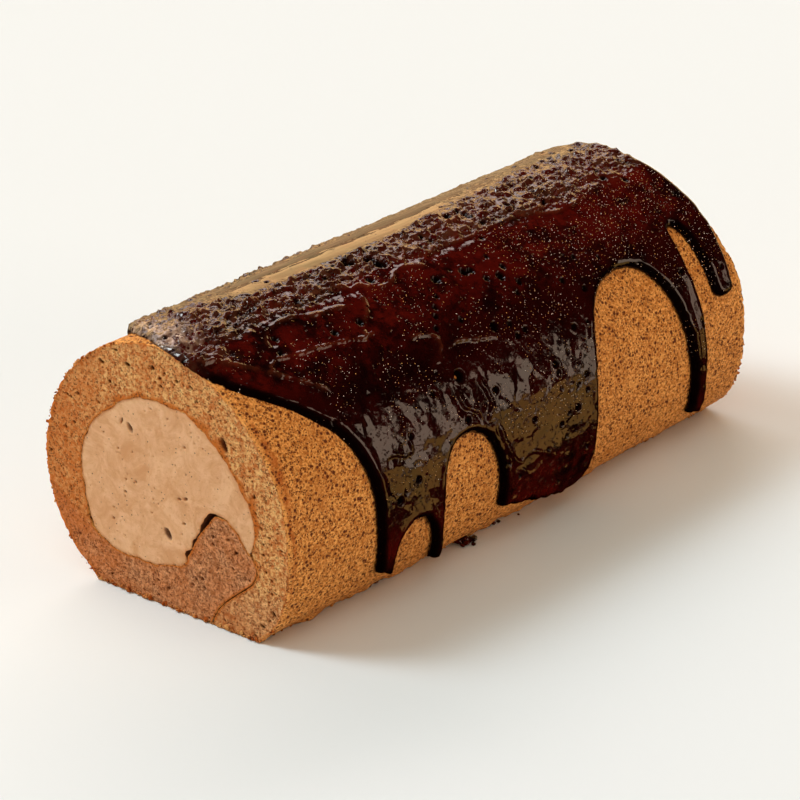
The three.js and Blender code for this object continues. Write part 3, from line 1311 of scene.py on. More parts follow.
    def skin_shift(self, places: Array, section: Array, share: Array,
                   outline: Array, shown: Array) -> Array:
        """How far each vertex moves off the plain loft.

        Args:
            places: Plain places, in mm.
            section: Their section points.
            share: Their share along the roll.
            outline: The section's outline.
            shown: Which outline points are skin.

        Returns:
            Moves in x, y and z, in mm.
        """
        skin = outline[shown]
        along = np.gradient(skin, axis=0)
        outward = np.stack([along[:, 1], -along[:, 0]], axis=-1)
        outward /= np.linalg.norm(outward, axis=1, keepdims=True)
        nearest, off = Distance(skin).nearest(section)
        hold = ease(2.5, 0.0, off)
        bulge = self.relief(places, section) * hold
        from_cut = np.minimum(share, 1.0 - share) * self.form.length
        at_rim = ease(1.8, 0.0, from_cut) * ease(1.0, 0.0, off) * ease(0.0, 4.0, section[:, 1])
        chips = self.rim_chips * np.clip(0.35 + 0.9 * rough(places, 1.7, 3, Field.RIM_CHIPS), 0.0, 1.2)
        move = np.zeros_like(places)
        move[:, 1:] = outward[nearest] * (bulge - at_rim * chips)[:, None]
        return move


# ---------- cream


@dataclass
class Cream:
    """The filling that runs through the roll and shows at both cut faces."""

    form: RollForm
    edge_step: float = 0.8
    face_step: float = 0.6
    pore_margin: float = 1.5
    gap: float = 0.06
    crack: float = 1.5
    recess: float = 0.12
    edge_recess: float = 0.12
    inner_rows: tuple[float, ...] = (0.5, 6.0, 60.0, 120.0, 174.0, 179.5)
    near: Crumb = Crumb(
        amount=0.05,
        grain=4.0,
        pits=(
            Pit(11.1, 50.8, 1.4, 2.7, -28, 2.0), Pit(13.9, 52.0, 0.8, 2.0, 20, 1.3),
            Pit(-0.4, 22.6, 1.7, 3.1, -30, 2.4), Pit(14.0, 30.7, 0.9, 0.8), Pit(15.6, 43.3, 0.7, 0.6),
            Pit(-7.7, 50.8, 0.8, 0.7), Pit(-7.1, 35.3, 1.5, 0.9, -20), Pit(-5.0, 34.6, 1.1, 0.8),
            Pit(18.7, 21.1, 0.8, 0.8), Pit(-6.2, 27.6, 1.0, 0.7, -20), Pit(13.3, 34.7, 0.6, 0.6),
            Pit(10.0, 34.9, 0.7, 0.8), Pit(3.4, 58.8, 0.9, 0.4, 20), Pit(-2.4, 57.5, 0.5, 0.5),
        ),
        scatter=40,
        scatter_size=(0.3, 0.6),
        seed=21,
    )
    far: Crumb = replace(
        near,
        pits=(Pit(-8.0, 46.0, 1.2, 2.0, 30), Pit(12.0, 26.0, 1.4, 0.8, -10), Pit(4.0, 38.0, 0.8, 0.8)),
        seed=22,
    )

    def outline(self) -> Array:
        """The filling's section, anticlockwise, drawn in from the sheet by the gap and the open crack."""
        hollow, before_curl = self.form.hollow(self.edge_step)
        on_curl = np.arange(len(hollow)) - before_curl
        share = np.clip(on_curl / (len(hollow) - before_curl), 0.0, 1.0)
        torn = ease(0.0, 0.12, share) * ease(0.72, 0.55, share)
        torn = torn * np.clip(0.75 + 1.2 * rough(hollow, 5.0, 2, Field.CRACK), 0.1, 1.5)
        parted = ease(12.0, 3.0, np.hypot(hollow[:, 0] - 27.6, hollow[:, 1] - 21.0))
        parted = parted * np.clip(0.6 + 1.4 * rough(hollow, 4.0, 2, Field.PARTED), 0.0, 1.3)
        inset = self.gap + self.crack * torn + 0.8 * parted
        return sideways(hollow, -inset, True)[::-1]

    def build(self) -> Piece:
        """Builds and dresses the filling.

        Returns:
            The object.
        """
        outline = self.outline()
        shell = Shell()
        every = np.arange(len(outline))
        shares = [0.0, *(distance / self.form.length for distance in self.inner_rows), 1.0]
        rings = [shell.row(outline, every, share) for share in shares]
        for lower, upper in zip(rings, rings[1:]):
            shell.bridge(lower, upper)
        for end, ring, crumb in ((End.NEAR, rings[0], self.near), (End.FAR, rings[-1], self.far)):
            inner, triangles, holes = crumb.face(outline, self.face_step, self.pore_margin)
            edge = self.edge_recess * ease(1.2, 0.0, Distance(outline).of(inner))
            lumps = crumb.amount * crumb.lumps(inner)
            shell.cap(end, ring, inner, triangles, holes - lumps + edge)
        section, share, depth = shell.vertices()
        places = self.form.loft(share, section)
        at_end = (share <= 0.0) | (share >= 1.0)
        inward = np.where(share > 0.5, -1.0, 1.0)
        places[:, 0] += np.where(at_end, depth + self.recess, 0.0) * inward
        to_edge = np.where(at_end, Distance(outline).of(section), 0.0)
        values = {
            # Painted shade: how deep the face sinks into a hole, and full on the side walls.
            "pit": np.where(at_end, ease(0.25, 0.6, depth), 1.0),
            "lining": np.where(at_end, ease(0.9, 0.1, to_edge), 0.0),
        }
        body = Body("cream_filling", self.form.to_frame(places), np.vstack(shell.triangles), None, values)
        piece = body.build([CreamFinish().build()])
        dress(piece, "cream")
        return piece


# ---------- glaze


class Side(IntEnum):
    """Side of the crest that the glaze runs down, as the sign of its run."""

    FRONT = -1
    BACK = 1


@dataclass(frozen=True)
class Drip:
    """One run of glaze, by pairs for the side the edge comes down on and the one it goes up on."""

    sides: Pair
    reach: Pair
    round: Pair
    lean: Pair = (0.0, 0.0)


@dataclass(frozen=True)
class Arch:
    """Where the glaze ends between two drips."""

    at: float
    level: float


@dataclass(frozen=True)
class Edge:
    """One long edge of the glaze, from where it leaves one rim to where it meets the other."""

    side: Side
    start: Pair
    sweep: tuple[Pair, ...]
    drips: tuple[Drip, ...]
    arches: tuple[Arch, ...]
    end: Pair
    spread: float = 0.68
    drop: float = 0.3

    def flank(self, arch: Arch, x: float, lean: float, shoulder: float) -> list[Pair]:
        """Bezier corners of a drip's side, from the crown of an arch to the drip's shoulder."""
        turn = arch.at + (x - lean - arch.at) * self.spread
        drop = arch.level + (shoulder - arch.level) * self.drop
        return [(arch.at, arch.level), (turn, arch.level), (x - lean, drop), (x, shoulder)]

    def line(self) -> Array:
        """The edge as a polyline of [x, run]."""
        parts = [bezier([self.start, *self.sweep])]
        for index, drip in enumerate(self.drips):
            enter, leave = drip.sides
            way = math.copysign(1.0, leave - enter)
            (down, up), (near, far) = drip.reach, drip.round
            if index:
                parts.append(bezier(self.flank(self.arches[index - 1], enter, drip.lean[0], down - near)))
            parts.append(bezier([(enter, down - near), (enter, down), (enter + way * near, down)]))
            parts.append(bezier([(leave - way * far, up), (leave, up), (leave, up - far)]))
            if index < len(self.arches):
                parts.append(bezier(self.flank(self.arches[index], leave, drip.lean[1], up - far)[::-1]))
        line = np.vstack([*parts, [self.end]])
        return line * (1.0, float(self.side))


@dataclass(frozen=True)
class Ledge:
    """A step that the palette knife left in the glaze; its low side is on the right of its line."""

    knots: tuple[Pair, ...]
    drop: float = 0.55
    lip: float = 0.26
    reach: float = 5.0
    taper: float = 3.0
    edge: float = 0.34
    step: float = 0.3

    def relief(self, flat: Array) -> tuple[Array, Array]:
        """What the step adds.

        Args:
            flat: Rows of [x, run], in mm.

        Returns:
            Height in mm, and how close each place is to the lip, from 0 to 1.
        """
        curve = Curve(list(self.knots))
        spots = curve.spaced(self.step)
        along = np.linspace(0.0, curve.length, len(spots))
        right = curve.right_of(along)
        span = 2.0 * self.reach + 2.0
        low, high = spots.min(axis=0) - span, spots.max(axis=0) + span
        close = np.flatnonzero(((flat > low) & (flat < high)).all(axis=1))
        nearest, distance = Distance(spots).nearest(flat[close])
        side = np.einsum("ij,ij->i", flat[close] - spots[nearest], right[nearest])
        away = distance * np.where(side < 0.0, -1.0, 1.0)
        share = ease(0.0, self.taper, along[nearest]) * ease(0.0, self.taper, curve.length - along[nearest])
        share = share * ease(span, 0.5 * span, np.abs(away))
        above = 0.4 * self.drop * np.exp(np.minimum(away, 0.0) * 2.0 / self.reach)
        below = -0.6 * self.drop * np.exp(-np.maximum(away, 0.0) / self.reach)
        away = away + 0.45 * rough(flat[close], 2.6, 2, Field.LEDGE_WANDER)
        turn = ease(-self.edge, self.edge, away)
        uneven = np.clip(0.85 + 1.5 * rough(flat[close], 2.8, 3, Field.LEDGE_LIP), 0.1, 2.2)
        lip = np.exp(-(((away + 0.4) / 0.42) ** 2)) * uneven
        height, brink = np.zeros(len(flat)), np.zeros(len(flat))
        height[close] = (above * (1.0 - turn) + below * turn + 1.4 * self.lip * lip) * share
        brink[close] = np.minimum(lip, 1.0) * share
        return height, brink


def bezier(corners: list[Pair], count: int = 40) -> Array:
    """Points of a Bezier curve of any degree.

    Args:
        corners: Its control points.
        count: Number of points.

    Returns:
        The points, both ends included.
    """
    t = np.linspace(0.0, 1.0, count)[:, None]
    degree = len(corners) - 1
    weights = [math.comb(degree, k) * (1 - t) ** (degree - k) * t**k for k in range(degree + 1)]
    terms = [weight * np.array(corner) for weight, corner in zip(weights, corners)]
    return np.sum(terms, axis=0)


@dataclass
class Glaze:
    """The poured glaze: one sheet with rounded edges, palette-knife marks, pits and drips."""

    form: RollForm
    thickness: float = 2.05
    sunk: float = 0.15
    bead: float = 0.3
    edge_round: float = 2.3
    edge_step: float = 0.5
    grid_step: float = 0.54
    far_side_step: float = 0.86
    far_side_from: float = 26.0
    under_step: float = 6.0
    wobble: float = 0.35
    far_rim: tuple[Pair, ...] = ((183.0, -8.0),)
    near_rim: tuple[Pair, ...] = ((10.0, 22.0), (-1.5, 9.0))
    rings: tuple[float, ...] = (0.12, 0.35, 0.7, 1.15, 1.7, 2.35)
    facet_size: float = 7.5
    facet_tilt: Pair = (0.048, 0.034)
    pit_count: int = 420
    seed: int = 31
    ledges: tuple[Ledge, ...] = (
        Ledge(((24, -19.5), (24.7, -17.3), (26.3, -15.5), (29.4, -13.9), (33.2, -13.1), (37, -13.2),
               (40.2, -14.1), (43.3, -15.6), (49.1, -15.8), (56, -17.6)), taper=1.5),
        Ledge(((47, -8.4), (54.6, -9.4), (58.3, -10.1), (60.1, -12.3), (62.9, -12.2), (65.5, -14.2),
               (69.1, -15.6), (73, -15.2), (75.7, -13.3), (80.2, -12.2), (83.8, -13.2), (87, -15.7))),
        Ledge(((51.9, -27.4), (54, -23.6), (58.5, -20.5), (60.9, -16.4), (61.6, -13.6)), drop=0.4,
               lip=0.34, taper=1.5),
        Ledge(((19.7, -26), (19.8, -24), (22.7, -23.1), (26.4, -23.4), (30.6, -24.2), (37.8, -24.6),
               (43.6, -25.2), (50.9, -26.9), (56, -26.4)), taper=1.5),
        Ledge(((0.8, -15.9), (3.8, -15.8), (7.1, -16.3), (9, -17.9), (11, -19.9), (13.4, -21.6),
               (17, -24.5), (22, -28.4), (27, -32), (32, -36.5)), drop=0.9, lip=0.2, reach=7.0),
        Ledge(((63.7, -31.8), (67.7, -32.4), (70.6, -33.4), (71.9, -35.1), (70.2, -38.2), (67.1, -39.8)),
               drop=0.3, lip=0.3, reach=3.0, taper=1.5),
        Ledge(((73, -38.6), (75.2, -38), (78.6, -37.7), (84.1, -39), (91.5, -40.6)), drop=0.8, lip=0.28,
               reach=1.6),
        Ledge(((80, -12.6), (84, -8.9), (87.9, -5.1), (92.6, -4.1), (97.8, -3.7), (103.6, -3.8),
               (111.7, -5.3)), drop=0.45),
        Ledge(((88, -12.4), (93.5, -10.7), (98.3, -10.8), (102.8, -11.5), (113, -11.6), (122.5, -11.3),
               (131.1, -11.9), (140, -12)), drop=0.4, lip=0.2),
        Ledge(((124, -9.6), (128.3, -10.4), (133.6, -13.4), (139.1, -15.3), (144.1, -15.1), (152, -14.6)),
               drop=0.35),
        Ledge(((144, -9.6), (149.1, -8.8), (155.8, -8.2), (163, -8.6)), drop=0.35),
        Ledge(((17.6, -8.6), (19.6, -6.3), (22.7, -3.7), (27, -3.4), (31.3, -3.1), (41, -2)), drop=0.45,
               taper=2.0),
        Ledge(((13, -0.6), (16, 0.8), (20.6, 2.4), (25, 2.8), (30.5, 4.9)), drop=0.4, lip=0.3, taper=2.0),
        Ledge(((36.7, -43.8), (35.9, -53.3), (37.2, -59.1), (38.8, -64.6), (41.8, -69.5), (45.8, -73.4),
               (49, -75.6)), drop=-0.35, lip=0.1, reach=2.5),
        Ledge(((39.4, -60.5), (40.3, -57.6), (42.2, -57.2), (46.6, -58.9), (49.7, -58.7), (49.9, -54.2)),
               drop=0.45, lip=0.2, reach=4.0, taper=1.5),
        Ledge(((69.2, -46), (69.7, -48.7), (70.6, -53.4), (75, -56.7), (75.8, -60.5)), drop=0.5, lip=0.2,
               reach=2.5),
        Ledge(((78.6, -47.5), (78.8, -49.9), (79.8, -52.5), (80.4, -55.6), (78.4, -58.6), (77.9, -60.5)),
               drop=0.9, lip=0.25, reach=1.2, taper=1.5),
        Ledge(((80.9, -61.5), (83.4, -68.4), (85.1, -72.4), (88.9, -76.4), (93.4, -74.9), (99.4, -77.4),
               (104.9, -80.7), (111, -81.8)), drop=0.6, lip=0.2, reach=4.0),
        Ledge(((88.6, -77.6), (91.2, -80.8), (95, -81.6), (98.4, -79.4)), drop=-0.3, lip=0.3, reach=2.0,
               taper=1.0),
    )
    knobs: tuple[tuple[float, float, float, float], ...] = (
        (182, -1, 1.7, 1.7), (180, 2.5, 1.3, 1), (182.4, -5.5, 1.4, 0.9), (176, 8, 1.5, 0.8),
        (168, 14, 1.4, 0.7), (3, 10, 1.5, 0.9), (6, 15, 1.3, 0.7), (15, 19, 1.6, 0.7),
        (23, -12.4, 1.2, 0.6), (18.3, -9.5, 1.1, 0.6), (4.5, -12.2, 1.2, 0.6), (2.6, -9.2, 1.2, 0.6),
        (1.8, -6.2, 1.2, 0.5), (45, 20, 1.2, 0.5), (88, 21, 1.3, 0.5),
    )
    craters: tuple[Triple, ...] = (
        (27.6, -16.8, 1.6), (43.2, -8.5, 1.8), (68.6, -2.9, 2.6), (74.6, -5, 2.4), (75.4, -8, 2.8),
        (67.6, -11.9, 2), (53.5, -22.3, 1.8), (84.9, -19.7, 2), (94.8, -20.7, 2.2), (97, -21.2, 1.8),
        (104.1, -26, 2.2), (107.2, -23.8, 1.6), (99.4, -25, 1.5), (108.3, -29.5, 1.5), (105.6, -31.9, 1.3),
        (109.8, -13.2, 1.2), (80.9, -24.1, 1.2), (77.8, -26.7, 1.5), (82.8, -32.4, 1.5),
        (91.8, -37.7, 2.2), (101.4, -41.8, 1.6), (98, -42.4, 1.5), (72.9, -45.6, 2.6), (114.7, -2.9, 1.5),
        (114.7, -4.6, 1.4), (109.5, -1.2, 1.5), (44.3, -22, 1.6), (128.2, -6.4, 1.7), (169, -14.1, 1.6),
        (179.4, -24.5, 1.6), (105.3, -19.1, 1.2), (122.1, -33.9, 1.4), (127.9, -38.2, 1.4),
        (163.6, -10.8, 1.6), (130.8, -29.2, 1.3), (75.9, -29, 1.4), (73.5, -32, 1.4), (83.4, -53, 1.5),
        (107, -53.5, 1.6), (107.2, -56, 1.3), (118, -46.5, 1.5), (95.3, -65.5, 1.4), (112.4, -68, 1.6),
        (105.7, -70.8, 1.2), (50.4, -54.6, 1.3), (43, -70, 1.8), (51.8, -80, 2.6), (50.3, -66.5, 1.4),
        (71.1, -57.1, 1.5), (84.4, -75, 1.3), (38.8, 11.9, 1.4), (43.8, 6.3, 1.5),
    )
    front: Edge = Edge(
        side=Side.FRONT,
        start=(0.3, 12),
        sweep=((1.6, 34), (35.5, 34), (35.5, 72)),
        drips=(
            Drip((36.8, 43.8), (92, 94.5), (2.4, 1.6), (0, 0.8)),
            Drip((58.8, 62.8), (97, 97.5), (1.6, 1.6), (2.2, 3.8)),
            Drip((82.8, 121.6), (89.5, 96.5), (2.6, 13)),
            Drip((163.8, 170.4), (91.5, 94), (1.4, 1.4), (3.2, 3.2)),
            Drip((174.2, 182.8), (57, 57), (4, 4), (0.4, 0.4)),
        ),
        arches=(Arch(51, 78.6), Arch(69, 61.4), Arch(143.6, 37.2), Arch(169.4, 32.2)),
        end=(184.4, 35),
    )
    back: Edge = Edge(
        side=Side.BACK,
        start=(174.8, 30),
        sweep=((174, 44), (166.5, 42), (165.5, 62)),
        drips=(
            Drip((164.8, 156.4), (90, 90), (4, 4), (-0.6, -0.6)),
            Drip((142, 112.5), (84, 88), (9, 4), (0.6, 0.6)),
            Drip((92.4, 84.2), (68, 68), (4, 4), (0.6, 0.6)),
            Drip((67, 60.2), (93, 95), (2.4, 2), (-1, -1)),
            Drip((36.6, 27.4), (76, 76), (4.2, 4.2), (-0.6, -0.6)),
        ),
        arches=(Arch(149.6, 58), Arch(101.5, 43), Arch(75.5, 56), Arch(46.5, 38)),
        end=(21, 38),
    )

    def outline(self) -> Array:
        """The glaze laid out flat as a closed line of [x, run], anticlockwise, with an uneven edge."""
        front, back = self.front.line(), self.back.line()
        far = bezier([tuple(front[-1]), *self.far_rim, tuple(back[0])])
        near = bezier([tuple(back[-1]), *self.near_rim, tuple(front[0])])
        line = resampled(np.vstack([front, far[1:-1], back, near[1:-1]]), self.edge_step, True)
        ragged = 0.5 + 2.5 * ease(86.0, 90.0, np.abs(line[:, 1])) * ease(78.0, 84.0, line[:, 0])
        fine = ragged * rough(line, 2.2, 2, Field.GLAZE_EDGE_RAGGED)
        uneven = self.wobble * (rough(line, 7.0, 2, Field.GLAZE_EDGE) + fine) - 0.1
        return sideways(line, -uneven, True)

    def level(self, flat: Array) -> Array:
        """Slow rise and fall, long along the roll, whose whole numbers are the knife's plateaus."""
        bends = [rough(flat, 14.0, 2, seed) for seed in (Field.LEVEL_BEND_X, Field.LEVEL_BEND_RUN)]
        bent = flat + np.stack(bends, axis=-1) * (5.0, 2.6)
        return rough(bent * (1.0, 2.7), 34.0, 2, Field.LEVEL) * 4.2 + 8.0

    def steps(self, flat: Array) -> tuple[Array, Array]:
        """Plateaus that the palette knife left.

        Args:
            flat: Rows of [x, run], in mm.

        Returns:
            Their height of 0 to 1 per plateau, and the lip along each plateau's edge of 0 to 1.
        """
        reach = 0.25
        level = self.level(flat)
        slope_x = (self.level(flat + (reach, 0.0)) - level) / reach
        slope_run = (self.level(flat + (0.0, reach)) - level) / reach
        slope = np.maximum(np.hypot(slope_x, slope_run), 0.02)
        whole, part = np.floor(level), level % 1.0
        off = (part - 0.5) / slope
        height = whole + ease(-0.55, 0.55, off)
        lip = np.exp(-(((off - 0.75) / 0.5) ** 2))
        return height, lip

    def facets(self, flat: Array) -> Array:
        """Tilted patches, with sharp borders, in which the glaze set lower down the sides.

        Args:
            flat: Rows of [x, run], in mm.

        Returns:
            Height in mm.
        """
        random = np.random.default_rng(self.seed + 2)
        bends = [rough(flat, 5.0, 2, seed) for seed in (Field.FACET_BEND_X, Field.FACET_BEND_RUN)]
        bent = flat + np.stack(bends, axis=-1) * 1.6
        middles = hex_grid(flat.min(axis=0), flat.max(axis=0), self.facet_size, random)
        middles += random.uniform(-0.3, 0.3, middles.shape) * self.facet_size
        tilts = random.uniform(-1.0, 1.0, middles.shape) * self.facet_tilt
        tree = Distance(middles).tree
        pairs = [tree.find_n((x, run, 0.0), 2) for x, run in bent.tolist()]
        nearest = np.array([[found[1] for found in pair] for pair in pairs])
        apart = np.array([pair[1][2] - pair[0][2] for pair in pairs])
        first, second = (np.einsum("ij,ij->i", tilts[n], bent - middles[n]) for n in nearest.T)
        soft = 0.7 + 2.6 * ease(-0.1, 0.3, rough(flat, 9.0, 2, Field.FACET_BORDERS))
        share = 0.5 + 0.5 * ease(0.0, 1.0, apart / soft)
        return first * share + second * (1.0 - share)

    def band_from(self, x: Array) -> Array:
        """Run at which the smooth band behind the crest begins, by place along the roll."""
        return 0.6 + 4.0 * ease(86.0, 122.0, x) + 1.8 * ease(130.0, 160.0, x)

    def coarse(self, flat: Array) -> Array:
        """Share of frothy surface: a strip along the crest, and the top by the near rim."""
        x, run = flat.T
        wander = 3.0 * rough(flat * (0.35, 1.0), 9.0, 2, Field.FROTH_EDGE)
        strip = ease(-11.5, -8.5, run + wander) * ease(1.0, -1.0, run - self.band_from(x) + 0.2 * wander)
        near = ease(40.0, 20.0, x + 4.0 * wander) * ease(-13.0, -9.0, run + wander) * ease(34.0, 16.0, run)
        rim = ease(9.0, 4.0, x - 0.5 * np.abs(run + 4.0) + wander) * ease(-20.0, -15.0, run)
        far = 0.7 * ease(108.0, 150.0, x) * ease(-14.0, -8.0, run + wander) * ease(24.0, 8.0, run)
        brow = ease(12.0, 15.0, run + 0.4 * wander) * ease(30.0, 24.0, run)
        brow = brow * (0.35 + 0.5 * ease(96.0, 72.0, x))
        patch = np.clip(0.8 + 0.9 * rough(flat, 6.0, 2, Field.FROTH_PATCHES), 0.0, 1.0)
        return np.clip(np.max([strip, near, rim, far, brow], axis=0) * patch, 0.0, 1.0)

    def pits(self, outline: Array) -> Array:
        """Craters, named and random, as rows of [x, run, radius, depth], in mm."""
        random = np.random.default_rng(self.seed)
        spots = random.uniform(outline.min(axis=0), outline.max(axis=0), (self.pit_count * 6, 2))
        wish = 0.1 + 0.7 * self.coarse(spots) + 0.2 * ease(30.0, 50.0, np.abs(spots[:, 1]))
        spots = spots[random.uniform(0.0, 1.0, len(spots)) < wish][: self.pit_count]
        size = random.uniform(0.0, 1.0, len(spots)) ** 2
        scattered = np.column_stack([spots, 0.45 + 0.55 * size, 0.35 + 0.55 * size])
        named = np.array(self.craters)
        placed = np.column_stack([named[:, :2], named[:, 2] * 0.72, named[:, 2] * 0.7])
        return np.vstack([scattered, placed])

    def build(self) -> Piece:
        """Builds and dresses the glaze.

        Returns:
            The object.
        """
        outline = self.outline()
        count = len(outline)
        edge = Distance(resampled(outline, 0.12, True))
        random = np.random.default_rng(self.seed + 1)
        bands = []
        for reach in self.rings:
            band = sideways(outline, reach, True)[:: 1 if reach < 0.6 else 2]
            bands.append(band[edge.of(band) > reach - 0.04])
        low, high = outline.min(axis=0), outline.max(axis=0)
        split = np.array([0.0, self.far_side_from])
        shown = hex_grid(low, np.array([high[0], split[1]]), self.grid_step, random)
        far_side = hex_grid(np.array([low[0], split[1] + self.grid_step]), high, self.far_side_step, random)
        grid = np.vstack([shown, far_side])
        grid = grid[edge.of(grid) > self.rings[-1] + self.grid_step * 0.55]
        flat, top = fill(outline, np.vstack([*bands, grid]))
        hidden = hex_grid(low, high, self.under_step, random)
        hidden = hidden[edge.of(hidden) > 1.5]
        under, bottom = fill(outline, hidden)
        lift = self.lift(flat, edge.of(flat), outline)
        places = self.form.wrap(flat[:, 0], flat[:, 1], lift["height"])
        below = under[count:]
        places_below = self.form.wrap(below[:, 0], below[:, 1], np.full(len(below), -self.sunk))
        number = np.concatenate([np.arange(count), len(flat) + np.arange(len(below))])
        triangles = np.vstack([top, number[bottom][:, ::-1]])
        shares = [name for name in lift if name != "height"]
        values = {name: np.append(lift[name], np.zeros(len(below))) for name in shares}
        vertices = self.form.to_frame(np.vstack([places, places_below]))
        body = Body("chocolate_glaze", vertices, triangles, None, values)
        piece = body.build([GlazeFinish().build()])
        dress(piece, "glaze")
        return piece

    def low(self, run: Array) -> Array:
        """Share of 0 to 1 of the sides that hang below the top, by run."""
        return ease(38.0, 54.0, np.abs(run))

    def profile(self, flat: Array, inward: Array) -> Array:
        """Share of its full height that the glaze has at places, by their distance from the edge."""
        x, run = flat.T
        wide = self.edge_round * (1.0 + 0.9 * ease(40.0, 18.0, x) * ease(-8.0, -18.0, run))
        return np.sqrt(np.clip(1.0 - (1.0 - np.minimum(inward / wide, 1.0)) ** 2, 0.0, 1.0))

    def full_height(self, flat: Array, inward: Array, coarse: Array) -> tuple[Array, Array]:
        """Height of the glaze before its edge is rounded and its pits are pressed in.

        Args:
            flat: Rows of [x, run], in mm.
            inward: Distance of each from the edge.
            coarse: Share of frothy surface.

        Returns:
            Height in mm, and how close each place is to a lip that the knife left, from 0 to 1.
        """
        x, run = flat.T
        low = self.low(run)
        band = ease(0.5, 2.5, run - self.band_from(x)) * ease(18.0, 13.0, run)
        height, lip = self.steps(flat)
        free = ease(20.0, 32.0, run)
        body = self.thickness + self.bead * np.exp(-(((inward - 2.4) / 1.3) ** 2))
        body += (0.3 * (height - height.mean()) / 1.6 + 0.2 * lip) * free
        brink = 0.6 * lip * free
        for ledge in self.ledges:
            rise, close = ledge.relief(flat)
            body += rise
            brink = np.maximum(brink, close)
        body += self.facets(flat) * (0.3 + 0.7 * low) * (1.0 - 0.9 * band)
        body += 0.5 * ease(82.0, 95.0, np.abs(run))
        body *= 1.0 - 0.45 * ease(11.0, 2.0, x) * ease(-16.0, -6.0, run)
        lumps = np.abs(rough(flat * (0.8, 1.2), 3.2, 2, Field.FROTH_LUMPS))
        lumps += 0.5 * np.abs(rough(flat, 1.5, 2, Field.FROTH_FINE_LUMPS))
        crinkle = 0.16 * rough(flat * (1.0, 1.4), 1.9, 2, Field.CRINKLE)
        held = (1.0 - 0.8 * band * ease(20.0, 40.0, x)) * ease(0.4, 2.0, inward)
        body += (1.9 * (lumps - 0.35) * coarse + crinkle * (0.22 + 0.5 * brink)) * held
        for knob_x, knob_run, radius, rise in self.knobs:
            body += rise * np.exp(-(((x - knob_x) ** 2 + (run - knob_run) ** 2) / radius**2))
        body += 0.035 * band * rough(flat * (0.1, 1.0), 1.6, 2, Field.BAND_STREAKS)
        body += (0.1 + 0.1 * low) * rough(flat * (0.7, 1.0), 8.0, 2, Field.GLAZE_WAVES)
        return np.clip(body, 0.6, self.thickness + 2.2), brink

    def press_pits(self, top: Array, flat: Array, profile: Array, outline: Array) -> Array:
        """Presses the pits in.

        Args:
            top: Height of the face in mm, which is lowered in place.
            flat: Rows of [x, run], in mm.
            profile: Share of the full height at each.
            outline: The edge.

        Returns:
            How dark the pits look, from 0 to 1.
        """
        tree = Distance(flat).tree
        hollow = np.zeros(len(flat))
        for x, run, radius, depth in self.pits(outline):
            for _, index, distance in tree.find_range((x, run, 0.0), radius * 1.5):
                share = distance / radius
                dark = min(1.0, 1.8 * depth) * min(1.0, max(0.0, 3.2 - 2.8 * share))
                hollow[index] = max(hollow[index], dark)
                rim = 0.15 * depth * math.exp(-(((share - 1.15) / 0.25) ** 2))
                dent = depth * max(0.0, 1.0 - share * share) - rim
                top[index] = max(top[index] - dent * profile[index], 0.25 * profile[index])
        return hollow

    def lift(self, flat: Array, inward: Array, outline: Array) -> dict[str, Array]:
        """Height of the glaze's face above the skin, and what the finish reads.

        Args:
            flat: Rows of [x, run], in mm.
            inward: Distance of each from the edge.
            outline: The edge.

        Returns:
            Height in mm, and by name the shares that the finish reads.
        """
        x, run = flat.T
        low, coarse = self.low(run), self.coarse(flat)
        profile = self.profile(flat, inward)
        full, brink = self.full_height(flat, inward, coarse)
        top = full * profile
        hollow = self.press_pits(top, flat, profile, outline)
        # Painted shade: near-black along the rounded edge, less where frothy, and in the pits.
        flank = np.maximum(ease(2.3, 1.5, inward) * (1.0 - 0.6 * coarse), hollow)
        steep = ease(24.0, 38.0, np.abs(run)) * ease(86.0, 74.0, np.abs(run))
        return {
            "height": top * (1.0 + self.sunk / self.thickness) - self.sunk,
            # Painted highlight along the ledge lips, kept off the hanging sides and the very edge.
            "thin": 0.35 * brink * (1.0 - low) * ease(1.0, 3.0, inward),
            "coarse": coarse,
            "flank": flank,
            "hollow": 0.8 * hollow,
            # Painted shade on the steep sides and on the back.
            "shade": np.maximum(0.75 * steep, 0.5 * ease(12.0, 26.0, run)),
            "scuffed": low * ease(2.0, 4.0, inward),
            # Painted reflection: pale froth towards the near corner of the top.
            "pale": ease(15.0, 3.0, x) * ease(-12.0, -3.0, run),
        }


# ---------- dust, crumbs and scraps


def blob(random: np.random.Generator, size: float, uneven: float, squash: float) -> tuple[Array, Array]:
    """A small closed lump.

    Args:
        random: Source of its shape.
        size: Its width, in mm.
        uneven: How much its corners vary.
        squash: Its thickness against its width.

    Returns:
        Vertices in mm round its middle, and triangles.
    """
    golden = (1.0 + math.sqrt(5.0)) / 2.0
    corners = [(a, b * golden, 0.0) for a in (-1, 1) for b in (-1, 1)]
    points = np.array(corners + [(0.0, a, b) for a, b, _ in corners] + [(b, 0.0, a) for a, b, _ in corners])
    points /= np.linalg.norm(points[0])
    triangles = [
        (i, j, k)
        for i in range(12)
        for j in range(i + 1, 12)
        for k in range(j + 1, 12)
        if max(np.linalg.norm(points[i] - points[j]), np.linalg.norm(points[j] - points[k]),
               np.linalg.norm(points[k] - points[i])) < 1.1
    ]
    faces = np.array(triangles)
    a, b, c = (points[faces[:, n]] for n in range(3))
    inward = np.einsum("ij,ij->i", np.cross(b - a, c - a), a) < 0
    faces[inward] = faces[inward][:, ::-1]
    points = points * (1.0 + random.uniform(-uneven, uneven, (12, 1)))
    points[:, 2] *= squash
    return points * size / 2.0, faces


